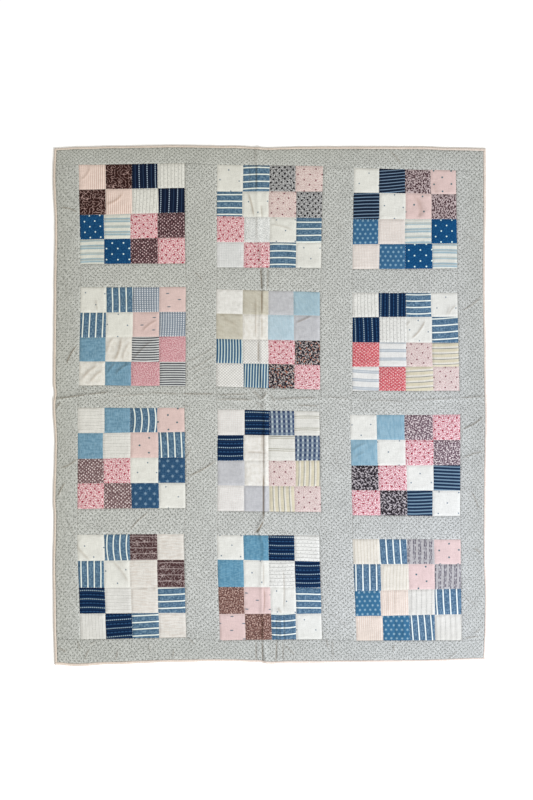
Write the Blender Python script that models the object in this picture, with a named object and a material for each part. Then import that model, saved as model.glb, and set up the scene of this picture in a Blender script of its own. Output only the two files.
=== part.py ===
"""Patchwork quilt lying face up on a flat surface.

Twelve sixteen-patch blocks in three columns, printed sashes between them, a printed border
and a narrow binding. Every panel is a closed solid of the quilted thickness, drawn first on
a regular cutting plan and then moved to where the sewn cloth really lies. Metres, +Z up,
the top of the quilt towards +Y, origin under the middle of the quilt.
"""

import math
from typing import NamedTuple

import bmesh
import bpy
import numpy as np

MILLIMETRE = 0.001

# Cutting plan
PATCH_WIDTH = 0.0655
PATCH_HEIGHT = 0.0630
PATCHES_PER_SIDE = 4
COLUMNS = 3
ROWS = 4
LONG_SASH_WIDTH = 0.0785
SHORT_SASH_HEIGHT = 0.0590
QUILT_WIDTH = 1.0850
QUILT_LENGTH = 1.3025
BINDING_WIDTH = 0.0062

BLOCK_WIDTH = PATCHES_PER_SIDE * PATCH_WIDTH
BLOCK_HEIGHT = PATCHES_PER_SIDE * PATCH_HEIGHT
PIECED_WIDTH = COLUMNS * BLOCK_WIDTH + (COLUMNS - 1) * LONG_SASH_WIDTH
PIECED_LENGTH = ROWS * BLOCK_HEIGHT + (ROWS - 1) * SHORT_SASH_HEIGHT

# Thickness of the quilted cloth
PATCH_THICKNESS = 0.0044
SEAM_THICKNESS = 0.0027
BINDING_THICKNESS = 0.0046
EDGE_THICKNESS = 0.0026
PUFF_RADIUS = 0.0055
SEAM_GAP = 0.0003
SEAM_BLEND = 0.0016
OFF_CENTRE = (-0.0027, 0.0026)
CREASE_SLACK = 0.0010
SWELL = 0.0004
SWELL_WAVES_PER_METRE = (11.0, 9.0, 17.0)

# Mesh stations
DITCH = 0.0070
PLAIN_STEP = 0.0550
CREASE_STEP = 0.0090
CREASE_COLUMN = 1
CREASE_PATCH = 1
CREASE_SASH_ROW = 1
FLAT_ANGLE = math.radians(0.4)
SHARP_ANGLE = math.radians(50)


class Block(NamedTuple):
    """Where one block's corners lie, in millimetres, and the mean colour of its patches."""

    row: int
    column: int
    top_left: tuple
    top_right: tuple
    bottom_left: tuple
    bottom_right: tuple
    tone: tuple


class EdgePoint(NamedTuple):
    """A point of the outline: its place along the edge and how far out it lies, in millimetres."""

    along: float
    out: float


class CreasePoint(NamedTuple):
    """A section of a storage crease, in millimetres."""

    along: float
    middle: float
    height: float
    half_width: float


class SeamShifts(NamedTuple):
    """How far a block's inner seams stray from even places, in millimetres.

    The upright seams have three shifts to the right for each row of patches, the top row first.
    The level seams have a shift up at their left and at their right end, the top seam first.
    """

    row: int
    column: int
    upright: tuple
    level: tuple


BLOCKS = (
    Block(1, 1, (-476, 599), (-211, 603), (-472, 351), (-209, 352), (0.50, 0.46, 0.50)),
    Block(1, 2, (-130, 599), (135, 596), (-131, 342), (130, 341), (0.72, 0.66, 0.66)),
    Block(1, 3, (212, 591), (467, 585), (208, 338), (471, 340), (0.56, 0.56, 0.62)),
    Block(2, 1, (-471, 293), (-208, 294), (-475, 48), (-208, 46), (0.64, 0.64, 0.67)),
    Block(2, 2, (-132, 288), (127, 281), (-132, 45), (128, 37), (0.66, 0.65, 0.64)),
    Block(2, 3, (208, 279), (471, 279), (208, 34), (476, 34), (0.70, 0.62, 0.64)),
    Block(3, 1, (-478, -8), (-211, -8), (-479, -261), (-208, -259), (0.64, 0.58, 0.60)),
    Block(3, 2, (-129, -12), (126, -17), (-129, -266), (130, -269), (0.70, 0.67, 0.66)),
    Block(3, 3, (202, -26), (478, -25), (208, -277), (478, -279), (0.54, 0.54, 0.58)),
    Block(4, 1, (-480, -325), (-213, -323), (-471, -587), (-207, -582), (0.62, 0.58, 0.60)),
    Block(4, 2, (-131, -326), (126, -327), (-123, -589), (133, -587), (0.56, 0.54, 0.57)),
    Block(4, 3, (208, -336), (479, -337), (218, -590), (482, -589), (0.62, 0.62, 0.67)),
)

SEAM_SHIFTS = (
    SeamShifts(1, 1, ((0.8, 0.5, -1.2), (0.3, 0.5, 0.0), (-4.8, -4.5, -2.8), (-5.2, -4.0, -2.8)),
               ((-0.3, 1.0), (-2.0, 2.0), (-1.2, 2.0))),
    SeamShifts(1, 2, ((-1.0, -1.0, -2.0), (-2.0, -2.0, 0.5), (2.6, 1.7, 1.5), (2.0, 1.7, 2.1)),
               ((-2.5, 0.0), (0.0, -2.2), (-0.5, -0.5))),
    SeamShifts(1, 3, ((-1.0, 0.5, 0.5), (0.9, 1.7, 2.1), (-1.7, 0.0, 1.2), (1.9, 1.2, 3.6)),
               ((2.0, 1.8), (-1.5, 1.2), (-1.5, 1.5))),
    SeamShifts(2, 1, ((-1.8, -0.7, -0.6), (-0.7, 0.0, -0.2), (-1.0, -2.0, 0.0), (-1.7, -3.0, 1.7)),
               ((-2.5, 0.0), (-3.7, 0.5), (-2.0, -1.7))),
    SeamShifts(2, 2, ((1.5, 1.5, -1.0), (1.5, 0.0, 0.0), (1.0, 0.7, 1.6), (3.5, 1.5, 1.0)),
               ((0.0, 1.5), (-2.5, 0.5), (-1.7, 0.5))),
    SeamShifts(2, 3, ((0.0, 2.5, -0.7), (2.0, 3.7, 0.6), (1.0, 2.0, 0.5), (0.0, 0.0, 2.0)),
               ((0.5, 1.7), (-0.7, -2.5), (-1.0, -0.7))),
    SeamShifts(3, 1, ((0.0, -3.0, -1.2), (-3.5, -2.0, 0.5), (-2.0, -2.0, 0.0), (-1.3, 0.0, 1.5)),
               ((-0.5, 2.3), (-1.0, 1.7), (0.5, 0.5))),
    SeamShifts(3, 2, ((4.0, 3.0, 1.0), (1.6, -0.7, 1.5), (4.0, 0.0, 2.6), (2.0, 0.0, -1.0)),
               ((-0.7, 2.5), (-1.5, 3.2), (0.0, 1.5))),
    SeamShifts(3, 3, ((-2.5, -1.7, 0.0), (-2.0, 0.0, 1.6), (-0.6, 2.2, 1.1), (2.5, 2.5, -1.5)),
               ((0.7, 0.0), (-1.0, 0.5), (0.0, 0.0))),
    SeamShifts(4, 1, ((1.0, -1.7, 0.0), (-2.0, -3.7, -1.8), (-1.0, -2.0, -1.8), (-2.0, -2.0, -1.0)),
               ((0.0, 0.0), (-1.5, -4.5), (-1.2, -3.2))),
    SeamShifts(4, 2, ((2.5, 0.5, 1.0), (1.0, 0.0, 0.5), (0.0, 2.0, 0.8), (0.5, 2.5, -1.0)),
               ((4.2, 0.0), (1.5, -0.7), (0.0, -0.5))),
    SeamShifts(4, 3, ((-1.0, 0.7, 1.0), (0.5, 3.7, 1.0), (-2.0, 0.7, 0.0), (1.7, 2.7, -1.0)),
               ((0.8, 1.2), (-3.2, 2.5), (-2.5, 1.8))),
)

TOP_EDGE = (
    EdgePoint(-540, 642.5), EdgePoint(-467, 645.5), EdgePoint(-372, 648.0),
    EdgePoint(-242, 650.0), EdgePoint(-97, 648.5), EdgePoint(2, 643.8),
    EdgePoint(80, 646.5), EdgePoint(370, 646.5), EdgePoint(470, 644.0), EdgePoint(540, 642.0),
)
BOTTOM_EDGE = (
    EdgePoint(-540, 648.0), EdgePoint(-485, 651.2), EdgePoint(-392, 646.5),
    EdgePoint(-242, 641.5), EdgePoint(-127, 638.8), EdgePoint(-35, 641.0),
    EdgePoint(-2, 646.0), EdgePoint(58, 643.5), EdgePoint(340, 641.2), EdgePoint(540, 635.5),
)
LEFT_EDGE = (
    EdgePoint(-645, 538.0), EdgePoint(-560, 541.0), EdgePoint(-414, 542.5),
    EdgePoint(-301, 540.0), EdgePoint(-264, 542.0), EdgePoint(-114, 537.5),
    EdgePoint(-20, 542.0), EdgePoint(8, 538.8), EdgePoint(35, 542.0), EdgePoint(261, 540.0),
    EdgePoint(436, 537.5), EdgePoint(561, 542.0), EdgePoint(645, 539.0),
)
RIGHT_EDGE = (
    EdgePoint(-645, 537.5), EdgePoint(-614, 539.0), EdgePoint(-564, 541.0),
    EdgePoint(-489, 542.5), EdgePoint(-376, 538.8), EdgePoint(-226, 540.0),
    EdgePoint(-51, 542.5), EdgePoint(124, 540.0), EdgePoint(336, 537.5),
    EdgePoint(511, 540.0), EdgePoint(645, 539.5),
)

# The crease down the middle, from the bottom edge to the top one
CENTRE_CREASE = (
    CreasePoint(-650, -6, 3.0, 10), CreasePoint(-600, -14, 3.0, 10),
    CreasePoint(-546, -16, 2.6, 10), CreasePoint(-440, -18, 2.4, 11),
    CreasePoint(-357, -12, 2.6, 10), CreasePoint(-312, -24, 3.8, 10),
    CreasePoint(-270, -11, 5.0, 9), CreasePoint(-110, -9, 5.2, 9),
    CreasePoint(-30, -11, 3.2, 10), CreasePoint(14, -10, 4.4, 13),
    CreasePoint(90, -18, 2.4, 10), CreasePoint(190, -20, 2.4, 10),
    CreasePoint(262, -16, 3.0, 10), CreasePoint(315, -10, 3.6, 10),
    CreasePoint(400, -24, 2.0, 11), CreasePoint(560, -30, 2.0, 10),
    CreasePoint(650, -25, 2.4, 10),
)
# The crease across the middle, from the left edge to the right one
CROSS_CREASE = (
    CreasePoint(-545, 12, 1.4, 9), CreasePoint(-452, 24, 1.9, 8),
    CreasePoint(-402, 28, 1.9, 8), CreasePoint(-290, 22, 1.2, 9),
    CreasePoint(-172, 19, 1.8, 9), CreasePoint(-60, 12, 2.2, 10),
    CreasePoint(40, 10, 2.0, 10), CreasePoint(178, 16, 1.4, 9),
    CreasePoint(360, 8, 1.2, 9), CreasePoint(545, 18, 1.4, 9),
)

PRINT_TONE = (0.71, 0.73, 0.70)
BINDING_TONE = (0.86, 0.78, 0.74)
COTTON_ROUGHNESS = 0.9


def column_left(column):
    """Left side of a block column on the plan; columns count from 0."""
    return -PIECED_WIDTH / 2 + column * (BLOCK_WIDTH + LONG_SASH_WIDTH)


def row_top(row):
    """Top side of a block row on the plan; rows count from 0 at the top."""
    return PIECED_LENGTH / 2 - row * (BLOCK_HEIGHT + SHORT_SASH_HEIGHT)


def plan_sides():
    """Plan lines at the sides of the columns, left to right, and of the rows, bottom to top."""
    across = [column_left(c) + side for c in range(COLUMNS) for side in (0.0, BLOCK_WIDTH)]
    along = [row_top(r) - side for r in range(ROWS) for side in (0.0, BLOCK_HEIGHT)]
    return np.array(across), np.array(along[::-1])


SIDES_ACROSS, SIDES_ALONG = plan_sides()


def corner_places():
    """Real place of each block corner, shifted with the pieced middle, by plan side lines."""
    places = np.zeros((len(SIDES_ACROSS), len(SIDES_ALONG), 2))
    for block in BLOCKS:
        left = 2 * (block.column - 1)
        bottom = 2 * (ROWS - block.row)
        places[left, bottom] = block.bottom_left
        places[left + 1, bottom] = block.bottom_right
        places[left, bottom + 1] = block.top_left
        places[left + 1, bottom + 1] = block.top_right
    return places * MILLIMETRE + np.array(OFF_CENTRE)


CORNER_PLACES = corner_places()


def smooth_table(points, along, column):
    """Value of one column of a table of sections at a place along it, eased between rows."""
    stations = [point.along * MILLIMETRE for point in points]
    along = min(max(along, stations[0]), stations[-1])
    after = min(max(int(np.searchsorted(stations, along)), 1), len(stations) - 1)
    share = (along - stations[after - 1]) / (stations[after] - stations[after - 1])
    ease = share * share * (3 - 2 * share)
    before_value = getattr(points[after - 1], column)
    after_value = getattr(points[after], column)
    return (before_value + (after_value - before_value) * ease) * MILLIMETRE


def share_between(lines, value):
    """Index of the plan cell that holds a value, and how far across that cell it lies."""
    index = min(max(int(np.searchsorted(lines, value)) - 1, 0), len(lines) - 2)
    return index, (value - lines[index]) / (lines[index + 1] - lines[index])


def outward(value, inner, outer, inner_place, outer_place):
    """Place of a plan value that lies between the pieced middle and the outline."""
    share = (value - inner) / (outer - inner)
    return inner_place + share * (outer_place - inner_place)


def strayed_upright(shifts, s, t):
    """How far right the sewing has moved a point, given its place in patches from the top left."""
    seam = min(max(round(t), 1), PATCHES_PER_SIDE - 1)
    share = min(max((t - seam) * PATCH_HEIGHT / SEAM_BLEND / 2 + 0.5, 0.0), 1.0)
    ease = share * share * (3 - 2 * share)
    places = range(PATCHES_PER_SIDE + 1)
    above = np.interp(s, places, (0.0, *shifts.upright[seam - 1], 0.0))
    below = np.interp(s, places, (0.0, *shifts.upright[seam], 0.0))
    return float(above + (below - above) * ease) * MILLIMETRE


def strayed_level(shifts, s, t):
    """How far up the sewing has moved a point, given its place in patches from the top left."""
    levels = [left + (right - left) * s / PATCHES_PER_SIDE for left, right in shifts.level]
    return float(np.interp(t, range(PATCHES_PER_SIDE + 1), (0.0, *levels, 0.0))) * MILLIMETRE


def strayed(across, along):
    """A plan point moved to where its block's uneven seams put it, still on the plan."""
    for shifts in SEAM_SHIFTS:
        s = (across - column_left(shifts.column - 1)) / PATCH_WIDTH
        t = (row_top(shifts.row - 1) - along) / PATCH_HEIGHT
        if 0 < s < PATCHES_PER_SIDE and 0 < t < PATCHES_PER_SIDE:
            moved_across = across + strayed_upright(shifts, s, t)
            return moved_across, along + strayed_level(shifts, s, t)
    return across, along


def cloth_place(across, along):
    """Where a point of the cutting plan lies on the real quilt, seen from above."""
    across, along = strayed(across, along)
    inner_across = min(max(across, SIDES_ACROSS[0]), SIDES_ACROSS[-1])
    inner_along = min(max(along, SIDES_ALONG[0]), SIDES_ALONG[-1])
    i, s = share_between(SIDES_ACROSS, inner_across)
    j, t = share_between(SIDES_ALONG, inner_along)
    low = CORNER_PLACES[i, j] * (1 - s) + CORNER_PLACES[i + 1, j] * s
    high = CORNER_PLACES[i, j + 1] * (1 - s) + CORNER_PLACES[i + 1, j + 1] * s
    x, y = low * (1 - t) + high * t
    if across < inner_across:
        edge = -smooth_table(LEFT_EDGE, along, "out")
        x = outward(across, inner_across, -QUILT_WIDTH / 2, x, edge)
    elif across > inner_across:
        edge = smooth_table(RIGHT_EDGE, along, "out")
        x = outward(across, inner_across, QUILT_WIDTH / 2, x, edge)
    if along < inner_along:
        edge = -smooth_table(BOTTOM_EDGE, across, "out")
        y = outward(along, inner_along, -QUILT_LENGTH / 2, y, edge)
    elif along > inner_along:
        edge = smooth_table(TOP_EDGE, across, "out")
        y = outward(along, inner_along, QUILT_LENGTH / 2, y, edge)
    return float(x), float(y)


def crease_height(points, along, aside):
    """Height of a storage crease at a place along it and aside from the quilt's middle line."""
    middle = smooth_table(points, along, "middle")
    height = smooth_table(points, along, "height")
    half_width = smooth_table(points, along, "half_width")
    return height * math.exp(-(((aside - middle) / half_width) ** 2))


def cloth_lift(x, y):
    """How far the creases lift the cloth off the surface."""
    x, y = x - OFF_CENTRE[0], y - OFF_CENTRE[1]
    return max(crease_height(CENTRE_CREASE, y, x), crease_height(CROSS_CREASE, x, y))


def cloth_swell(x, y):
    """Slow unevenness of the filled cloth, in metres."""
    first, second, third = SWELL_WAVES_PER_METRE
    slow = math.sin(first * x + 0.7) * math.cos(second * y - 0.4)
    return SWELL * (slow + 0.5 * math.sin(third * (x + 0.6 * y)))


def puff(distance):
    """Share of the full puff at a distance from a seam."""
    return 1 - math.exp(-((distance / PUFF_RADIUS) ** 2))


def cell_lines(start, end, step):
    """Mesh lines from one seam to the next: the seam, its ditch, and steps in between."""
    steps = max(1, math.ceil((end - start - 2 * DITCH) / step - 1e-6))
    inner = np.linspace(start + DITCH, end - DITCH, steps + 1)
    return [start, *inner]


def column_lines(column):
    """Mesh lines across one block column, and its seams."""
    seams = [column_left(column) + k * PATCH_WIDTH for k in range(PATCHES_PER_SIDE + 1)]
    lines = []
    for k in range(PATCHES_PER_SIDE):
        creased = column == CREASE_COLUMN and k == CREASE_PATCH
        lines += cell_lines(seams[k], seams[k + 1], CREASE_STEP if creased else PLAIN_STEP)
    return [*lines, seams[-1]], seams


def row_lines(row):
    """Mesh lines along one block row, bottom to top, and its seams."""
    seams = [row_top(row) - k * PATCH_HEIGHT for k in range(PATCHES_PER_SIDE, -1, -1)]
    lines = []
    for low, high in zip(seams, seams[1:]):
        lines += cell_lines(low, high, PLAIN_STEP)
    return [*lines, seams[-1]], seams


def strip_lines(start, end, step=PLAIN_STEP):
    """Mesh lines over a plain strip, and the two seams at its sides."""
    return [*cell_lines(start, end, step), end], [start, end]


def binding_lines(start, end):
    """Mesh lines over a binding strip: its sides and its round top."""
    return [start, (start + end) / 2, end]


def joined(*parts):
    """Several runs of mesh lines as one, with each shared line once."""
    lines = list(parts[0])
    for part in parts[1:]:
        lines += part[1:]
    return lines


def panel_height(across, along, seams_across, seams_along):
    """Thickness of a panel over the surface at a plan point, without its creases."""
    near_across = min(abs(across - seam) for seam in seams_across)
    near_along = min(abs(along - seam) for seam in seams_along)
    full = PATCH_THICKNESS - SEAM_THICKNESS
    return SEAM_THICKNESS + full * puff(near_across) * puff(near_along)


def binding_height(distance_in):
    """Thickness of the binding at a distance in from the quilt's edge."""
    share = min(max(distance_in / BINDING_WIDTH, 0.0), 1.0)
    crown = math.sin(math.pi * share)
    side = EDGE_THICKNESS + (SEAM_THICKNESS - EDGE_THICKNESS) * share
    return side + (BINDING_THICKNESS - side) * crown


def edge_distance(across, along):
    """Distance from a plan point to the nearest edge of the quilt."""
    return min(QUILT_WIDTH / 2 - abs(across), QUILT_LENGTH / 2 - abs(along))


def cotton(name, tone):
    """A matt cotton material of one mean colour."""
    material = bpy.data.materials.new(name)
    material.use_nodes = True
    shader = material.node_tree.nodes["Principled BSDF"]
    shader.inputs["Base Color"].default_value = (*tone, 1.0)
    shader.inputs["Roughness"].default_value = COTTON_ROUGHNESS
    shader.inputs["Metallic"].default_value = 0.0
    material.diffuse_color = (*tone, 1.0)
    return material


def inset_ends(lines):
    """Mesh lines whose two ends keep half the seam gap clear of the seam."""
    return [lines[0] + SEAM_GAP / 2, *lines[1:-1], lines[-1] - SEAM_GAP / 2]


def panel_grid(lines_across, lines_along):
    """A flat grid on the surface in the cloth's true outline, with its plan points."""
    grid = bmesh.new()
    steps_across = len(lines_across) - 1
    steps_along = len(lines_along) - 1
    bmesh.ops.create_grid(grid, x_segments=steps_across, y_segments=steps_along, size=1.0)
    plan_across = grid.verts.layers.float.new("plan_across")
    plan_along = grid.verts.layers.float.new("plan_along")
    for vertex in grid.verts:
        across = lines_across[round((vertex.co.x + 1) / 2 * steps_across)]
        along = lines_along[round((vertex.co.y + 1) / 2 * steps_along)]
        vertex[plan_across] = across
        vertex[plan_along] = along
        x, y = cloth_place(across, along)
        vertex.co = (x, y, max(0.0, cloth_lift(x, y) - CREASE_SLACK))
    return grid, plan_across, plan_along


def thicken(grid, plan_across, plan_along, height_at):
    """Raises a second face over the grid to the cloth's height, closed at the sides."""
    raised = bmesh.ops.extrude_face_region(grid, geom=grid.faces[:])
    top = [item for item in raised["geom"] if isinstance(item, bmesh.types.BMVert)]
    for vertex in top:
        x, y = vertex.co.x, vertex.co.y
        height = height_at(vertex[plan_across], vertex[plan_along])
        vertex.co.z = height + cloth_swell(x, y) + cloth_lift(x, y)
    grid.normal_update()
    bmesh.ops.recalc_face_normals(grid, faces=grid.faces[:])
    return set(top)


def join_flat_faces(grid, top):
    """Joins the coplanar faces of the underside and of the side walls."""
    low = [vertex for vertex in grid.verts if vertex not in top]
    edges = [edge for edge in grid.edges if not (edge.verts[0] in top and edge.verts[1] in top)]
    bmesh.ops.dissolve_limit(grid, angle_limit=FLAT_ANGLE, verts=low, edges=edges)


def make_panel(name, lines_across, lines_along, height_at, tone, quilt, origin):
    """One quilted panel as a closed solid, placed at its own middle."""
    grid, plan_across, plan_along = panel_grid(
        inset_ends(lines_across), inset_ends(lines_along)
    )
    top = thicken(grid, plan_across, plan_along, height_at)
    join_flat_faces(grid, top)
    grid.verts.layers.float.remove(plan_across)
    grid.verts.layers.float.remove(grid.verts.layers.float["plan_along"])
    middle_across = (lines_across[0] + lines_across[-1]) / 2
    middle_along = (lines_along[0] + lines_along[-1]) / 2
    x, y = cloth_place(middle_across, middle_along)
    bmesh.ops.translate(grid, verts=grid.verts[:], vec=(-x, -y, 0.0))
    mesh = bpy.data.meshes.new(name)
    grid.to_mesh(mesh)
    grid.free()
    mesh.shade_smooth()
    mesh.set_sharp_from_angle(angle=SHARP_ANGLE)
    mesh.materials.append(cotton(name + "_cotton", tone))
    panel = bpy.data.objects.new(name, mesh)
    panel.location = (x, y, 0.0)
    panel.parent = origin
    quilt.objects.link(panel)
    return panel


def quilted(seams_across, seams_along):
    """The height rule of a panel with the given seams."""
    def height_at(across, along):
        return panel_height(across, along, seams_across, seams_along)
    return height_at


def bound(across, along):
    """The height rule of the binding."""
    return binding_height(edge_distance(across, along))


def make_blocks(columns, rows, quilt, origin):
    """The twelve sixteen-patch blocks."""
    for block in BLOCKS:
        lines_across, seams_across = columns[block.column - 1]
        lines_along, seams_along = rows[block.row - 1]
        make_panel(
            f"block_r{block.row}c{block.column}", lines_across, lines_along,
            quilted(seams_across, seams_along), block.tone, quilt, origin,
        )


def make_short_sashes(columns, sashes, quilt, origin):
    """The strips between the blocks of one column."""
    for row, (lines_along, seams_along) in enumerate(sashes):
        for column, (lines_across, seams_across) in enumerate(columns):
            ends = [seams_across[0], seams_across[-1]]
            make_panel(
                f"sash_short_r{row + 1}c{column + 1}", lines_across, lines_along,
                quilted(ends, seams_along), PRINT_TONE, quilt, origin,
            )


def make_long_sashes(pieced_along, quilt, origin):
    """The strips between the columns, from the top border to the bottom one."""
    ends = [pieced_along[0], pieced_along[-1]]
    for number in range(1, COLUMNS):
        left = column_left(number) - LONG_SASH_WIDTH
        lines_across, seams_across = strip_lines(left, left + LONG_SASH_WIDTH)
        make_panel(
            f"sash_long_{number}", lines_across, pieced_along,
            quilted(seams_across, ends), PRINT_TONE, quilt, origin,
        )


def make_quilt():
    """The whole quilt, in a collection of its own."""
    for item in list(bpy.data.objects):
        bpy.data.objects.remove(item)
    quilt = bpy.data.collections.new("patchwork_quilt")
    bpy.context.scene.collection.children.link(quilt)
    origin = bpy.data.objects.new("quilt_middle", None)
    quilt.objects.link(origin)

    columns = [column_lines(c) for c in range(COLUMNS)]
    rows = [row_lines(r) for r in range(ROWS)]
    sashes = [
        strip_lines(
            row_top(r) - BLOCK_HEIGHT - SHORT_SASH_HEIGHT, row_top(r) - BLOCK_HEIGHT,
            CREASE_STEP if r == CREASE_SASH_ROW else PLAIN_STEP,
        )
        for r in range(ROWS - 1)
    ]
    gaps_across = [
        strip_lines(column_left(c) - LONG_SASH_WIDTH, column_left(c)) for c in range(1, COLUMNS)
    ]
    pieced_across = joined(
        columns[0][0], gaps_across[0][0], columns[1][0], gaps_across[1][0], columns[2][0]
    )
    pieced_along = joined(
        rows[3][0], sashes[2][0], rows[2][0], sashes[1][0], rows[1][0], sashes[0][0], rows[0][0]
    )
    edge_across = QUILT_WIDTH / 2
    edge_along = QUILT_LENGTH / 2
    seam_across = edge_across - BINDING_WIDTH
    seam_along = edge_along - BINDING_WIDTH
    left_border = strip_lines(-seam_across, pieced_across[0])
    right_border = strip_lines(pieced_across[-1], seam_across)
    bottom_border = strip_lines(-seam_along, pieced_along[0])
    top_border = strip_lines(pieced_along[-1], seam_along)
    full_across = joined(left_border[0], pieced_across, right_border[0])
    full_along = joined(bottom_border[0], pieced_along, top_border[0])

    make_blocks(columns, rows, quilt, origin)
    make_short_sashes(columns, sashes, quilt, origin)
    make_long_sashes(pieced_along, quilt, origin)
    ends_along = [pieced_along[0], pieced_along[-1]]
    ends_across = [-seam_across, seam_across]
    for name, (lines, seams) in {"left": left_border, "right": right_border}.items():
        rule = quilted(seams, ends_along)
        make_panel(f"border_{name}", lines, pieced_along, rule, PRINT_TONE, quilt, origin)
    for name, (lines, seams) in {"bottom": bottom_border, "top": top_border}.items():
        rule = quilted(ends_across, seams)
        make_panel(f"border_{name}", full_across, lines, rule, PRINT_TONE, quilt, origin)
    for name, start, end in (
        ("left", -edge_across, -seam_across), ("right", seam_across, edge_across),
    ):
        lines = binding_lines(start, end)
        make_panel(f"binding_{name}", lines, full_along, bound, BINDING_TONE, quilt, origin)
    bound_across = joined(
        binding_lines(-edge_across, -seam_across), full_across,
        binding_lines(seam_across, edge_across),
    )
    for name, start, end in (
        ("bottom", -edge_along, -seam_along), ("top", seam_along, edge_along),
    ):
        lines = binding_lines(start, end)
        make_panel(f"binding_{name}", bound_across, lines, bound, BINDING_TONE, quilt, origin)


make_quilt()
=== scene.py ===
"""Patchwork quilt lying face up: pieced blocks, printed sashing and borders, a narrow binding.

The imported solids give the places. Each panel gets a fine sheet with its seams, puckers and
creases, dressed in drafted cottons, and stitches run along its seams. Units are metres in
the meshes and millimetres in the tables and on the cloth's own pattern coordinates.
"""

import logging
import math
from dataclasses import dataclass, field
from enum import Enum
from typing import Callable, Optional

import bpy
import numpy as np
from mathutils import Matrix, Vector


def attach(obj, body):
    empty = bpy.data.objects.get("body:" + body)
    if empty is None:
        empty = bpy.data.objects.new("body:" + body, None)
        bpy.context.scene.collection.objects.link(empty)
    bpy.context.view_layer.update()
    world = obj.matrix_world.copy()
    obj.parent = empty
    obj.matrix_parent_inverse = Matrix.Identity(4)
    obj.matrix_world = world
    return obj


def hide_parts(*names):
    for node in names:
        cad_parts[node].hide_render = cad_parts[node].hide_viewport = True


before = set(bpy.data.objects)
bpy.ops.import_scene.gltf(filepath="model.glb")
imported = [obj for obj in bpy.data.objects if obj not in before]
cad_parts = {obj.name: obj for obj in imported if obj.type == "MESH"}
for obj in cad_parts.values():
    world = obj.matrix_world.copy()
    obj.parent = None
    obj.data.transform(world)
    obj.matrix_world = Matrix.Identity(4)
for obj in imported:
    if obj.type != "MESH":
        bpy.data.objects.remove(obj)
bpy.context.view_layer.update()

LOG = logging.getLogger("quilt")
MM = 0.001
BODY = "root"
CLOTH_UV = "cloth"
# Name of the mesh attribute for the brown along the creases: partly real age staining, partly painted crease
# shade.
STAIN_SHADE_ATTR = "stain"
LIGHT_LEVEL = 1.32
OFF_CENTRE = (-0.0027, 0.0026)

Colour = tuple[float, float, float]
Lines = list[float]
Socket = bpy.types.NodeSocket


def dye(red: float, green: float, blue: float) -> Colour:
    """A cloth colour as it looks under the studio light, turned into its own reflectance.

    Args:
        red: Red as seen, 0 to 255.
        green: Green as seen, 0 to 255.
        blue: Blue as seen, 0 to 255.

    Returns:
        The linear colour of the cloth itself.
    """
    def linear(value: float) -> float:
        """One seen channel as linear light."""
        share = value / 255
        return share / 12.92 if share <= 0.04045 else ((share + 0.055) / 1.055) ** 2.4

    return tuple(linear(value) / LIGHT_LEVEL for value in (red, green, blue))


class Run(Enum):
    """The way a stripe runs on the cloth."""

    UPRIGHT = "upright"
    LEVEL = "level"
    RISING = "rising"
    FALLING = "falling"


class Shape(Enum):
    """The outline of one small printed motif."""

    ROUND = "round"
    STAR = "star"
    SPRIG = "sprig"


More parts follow.
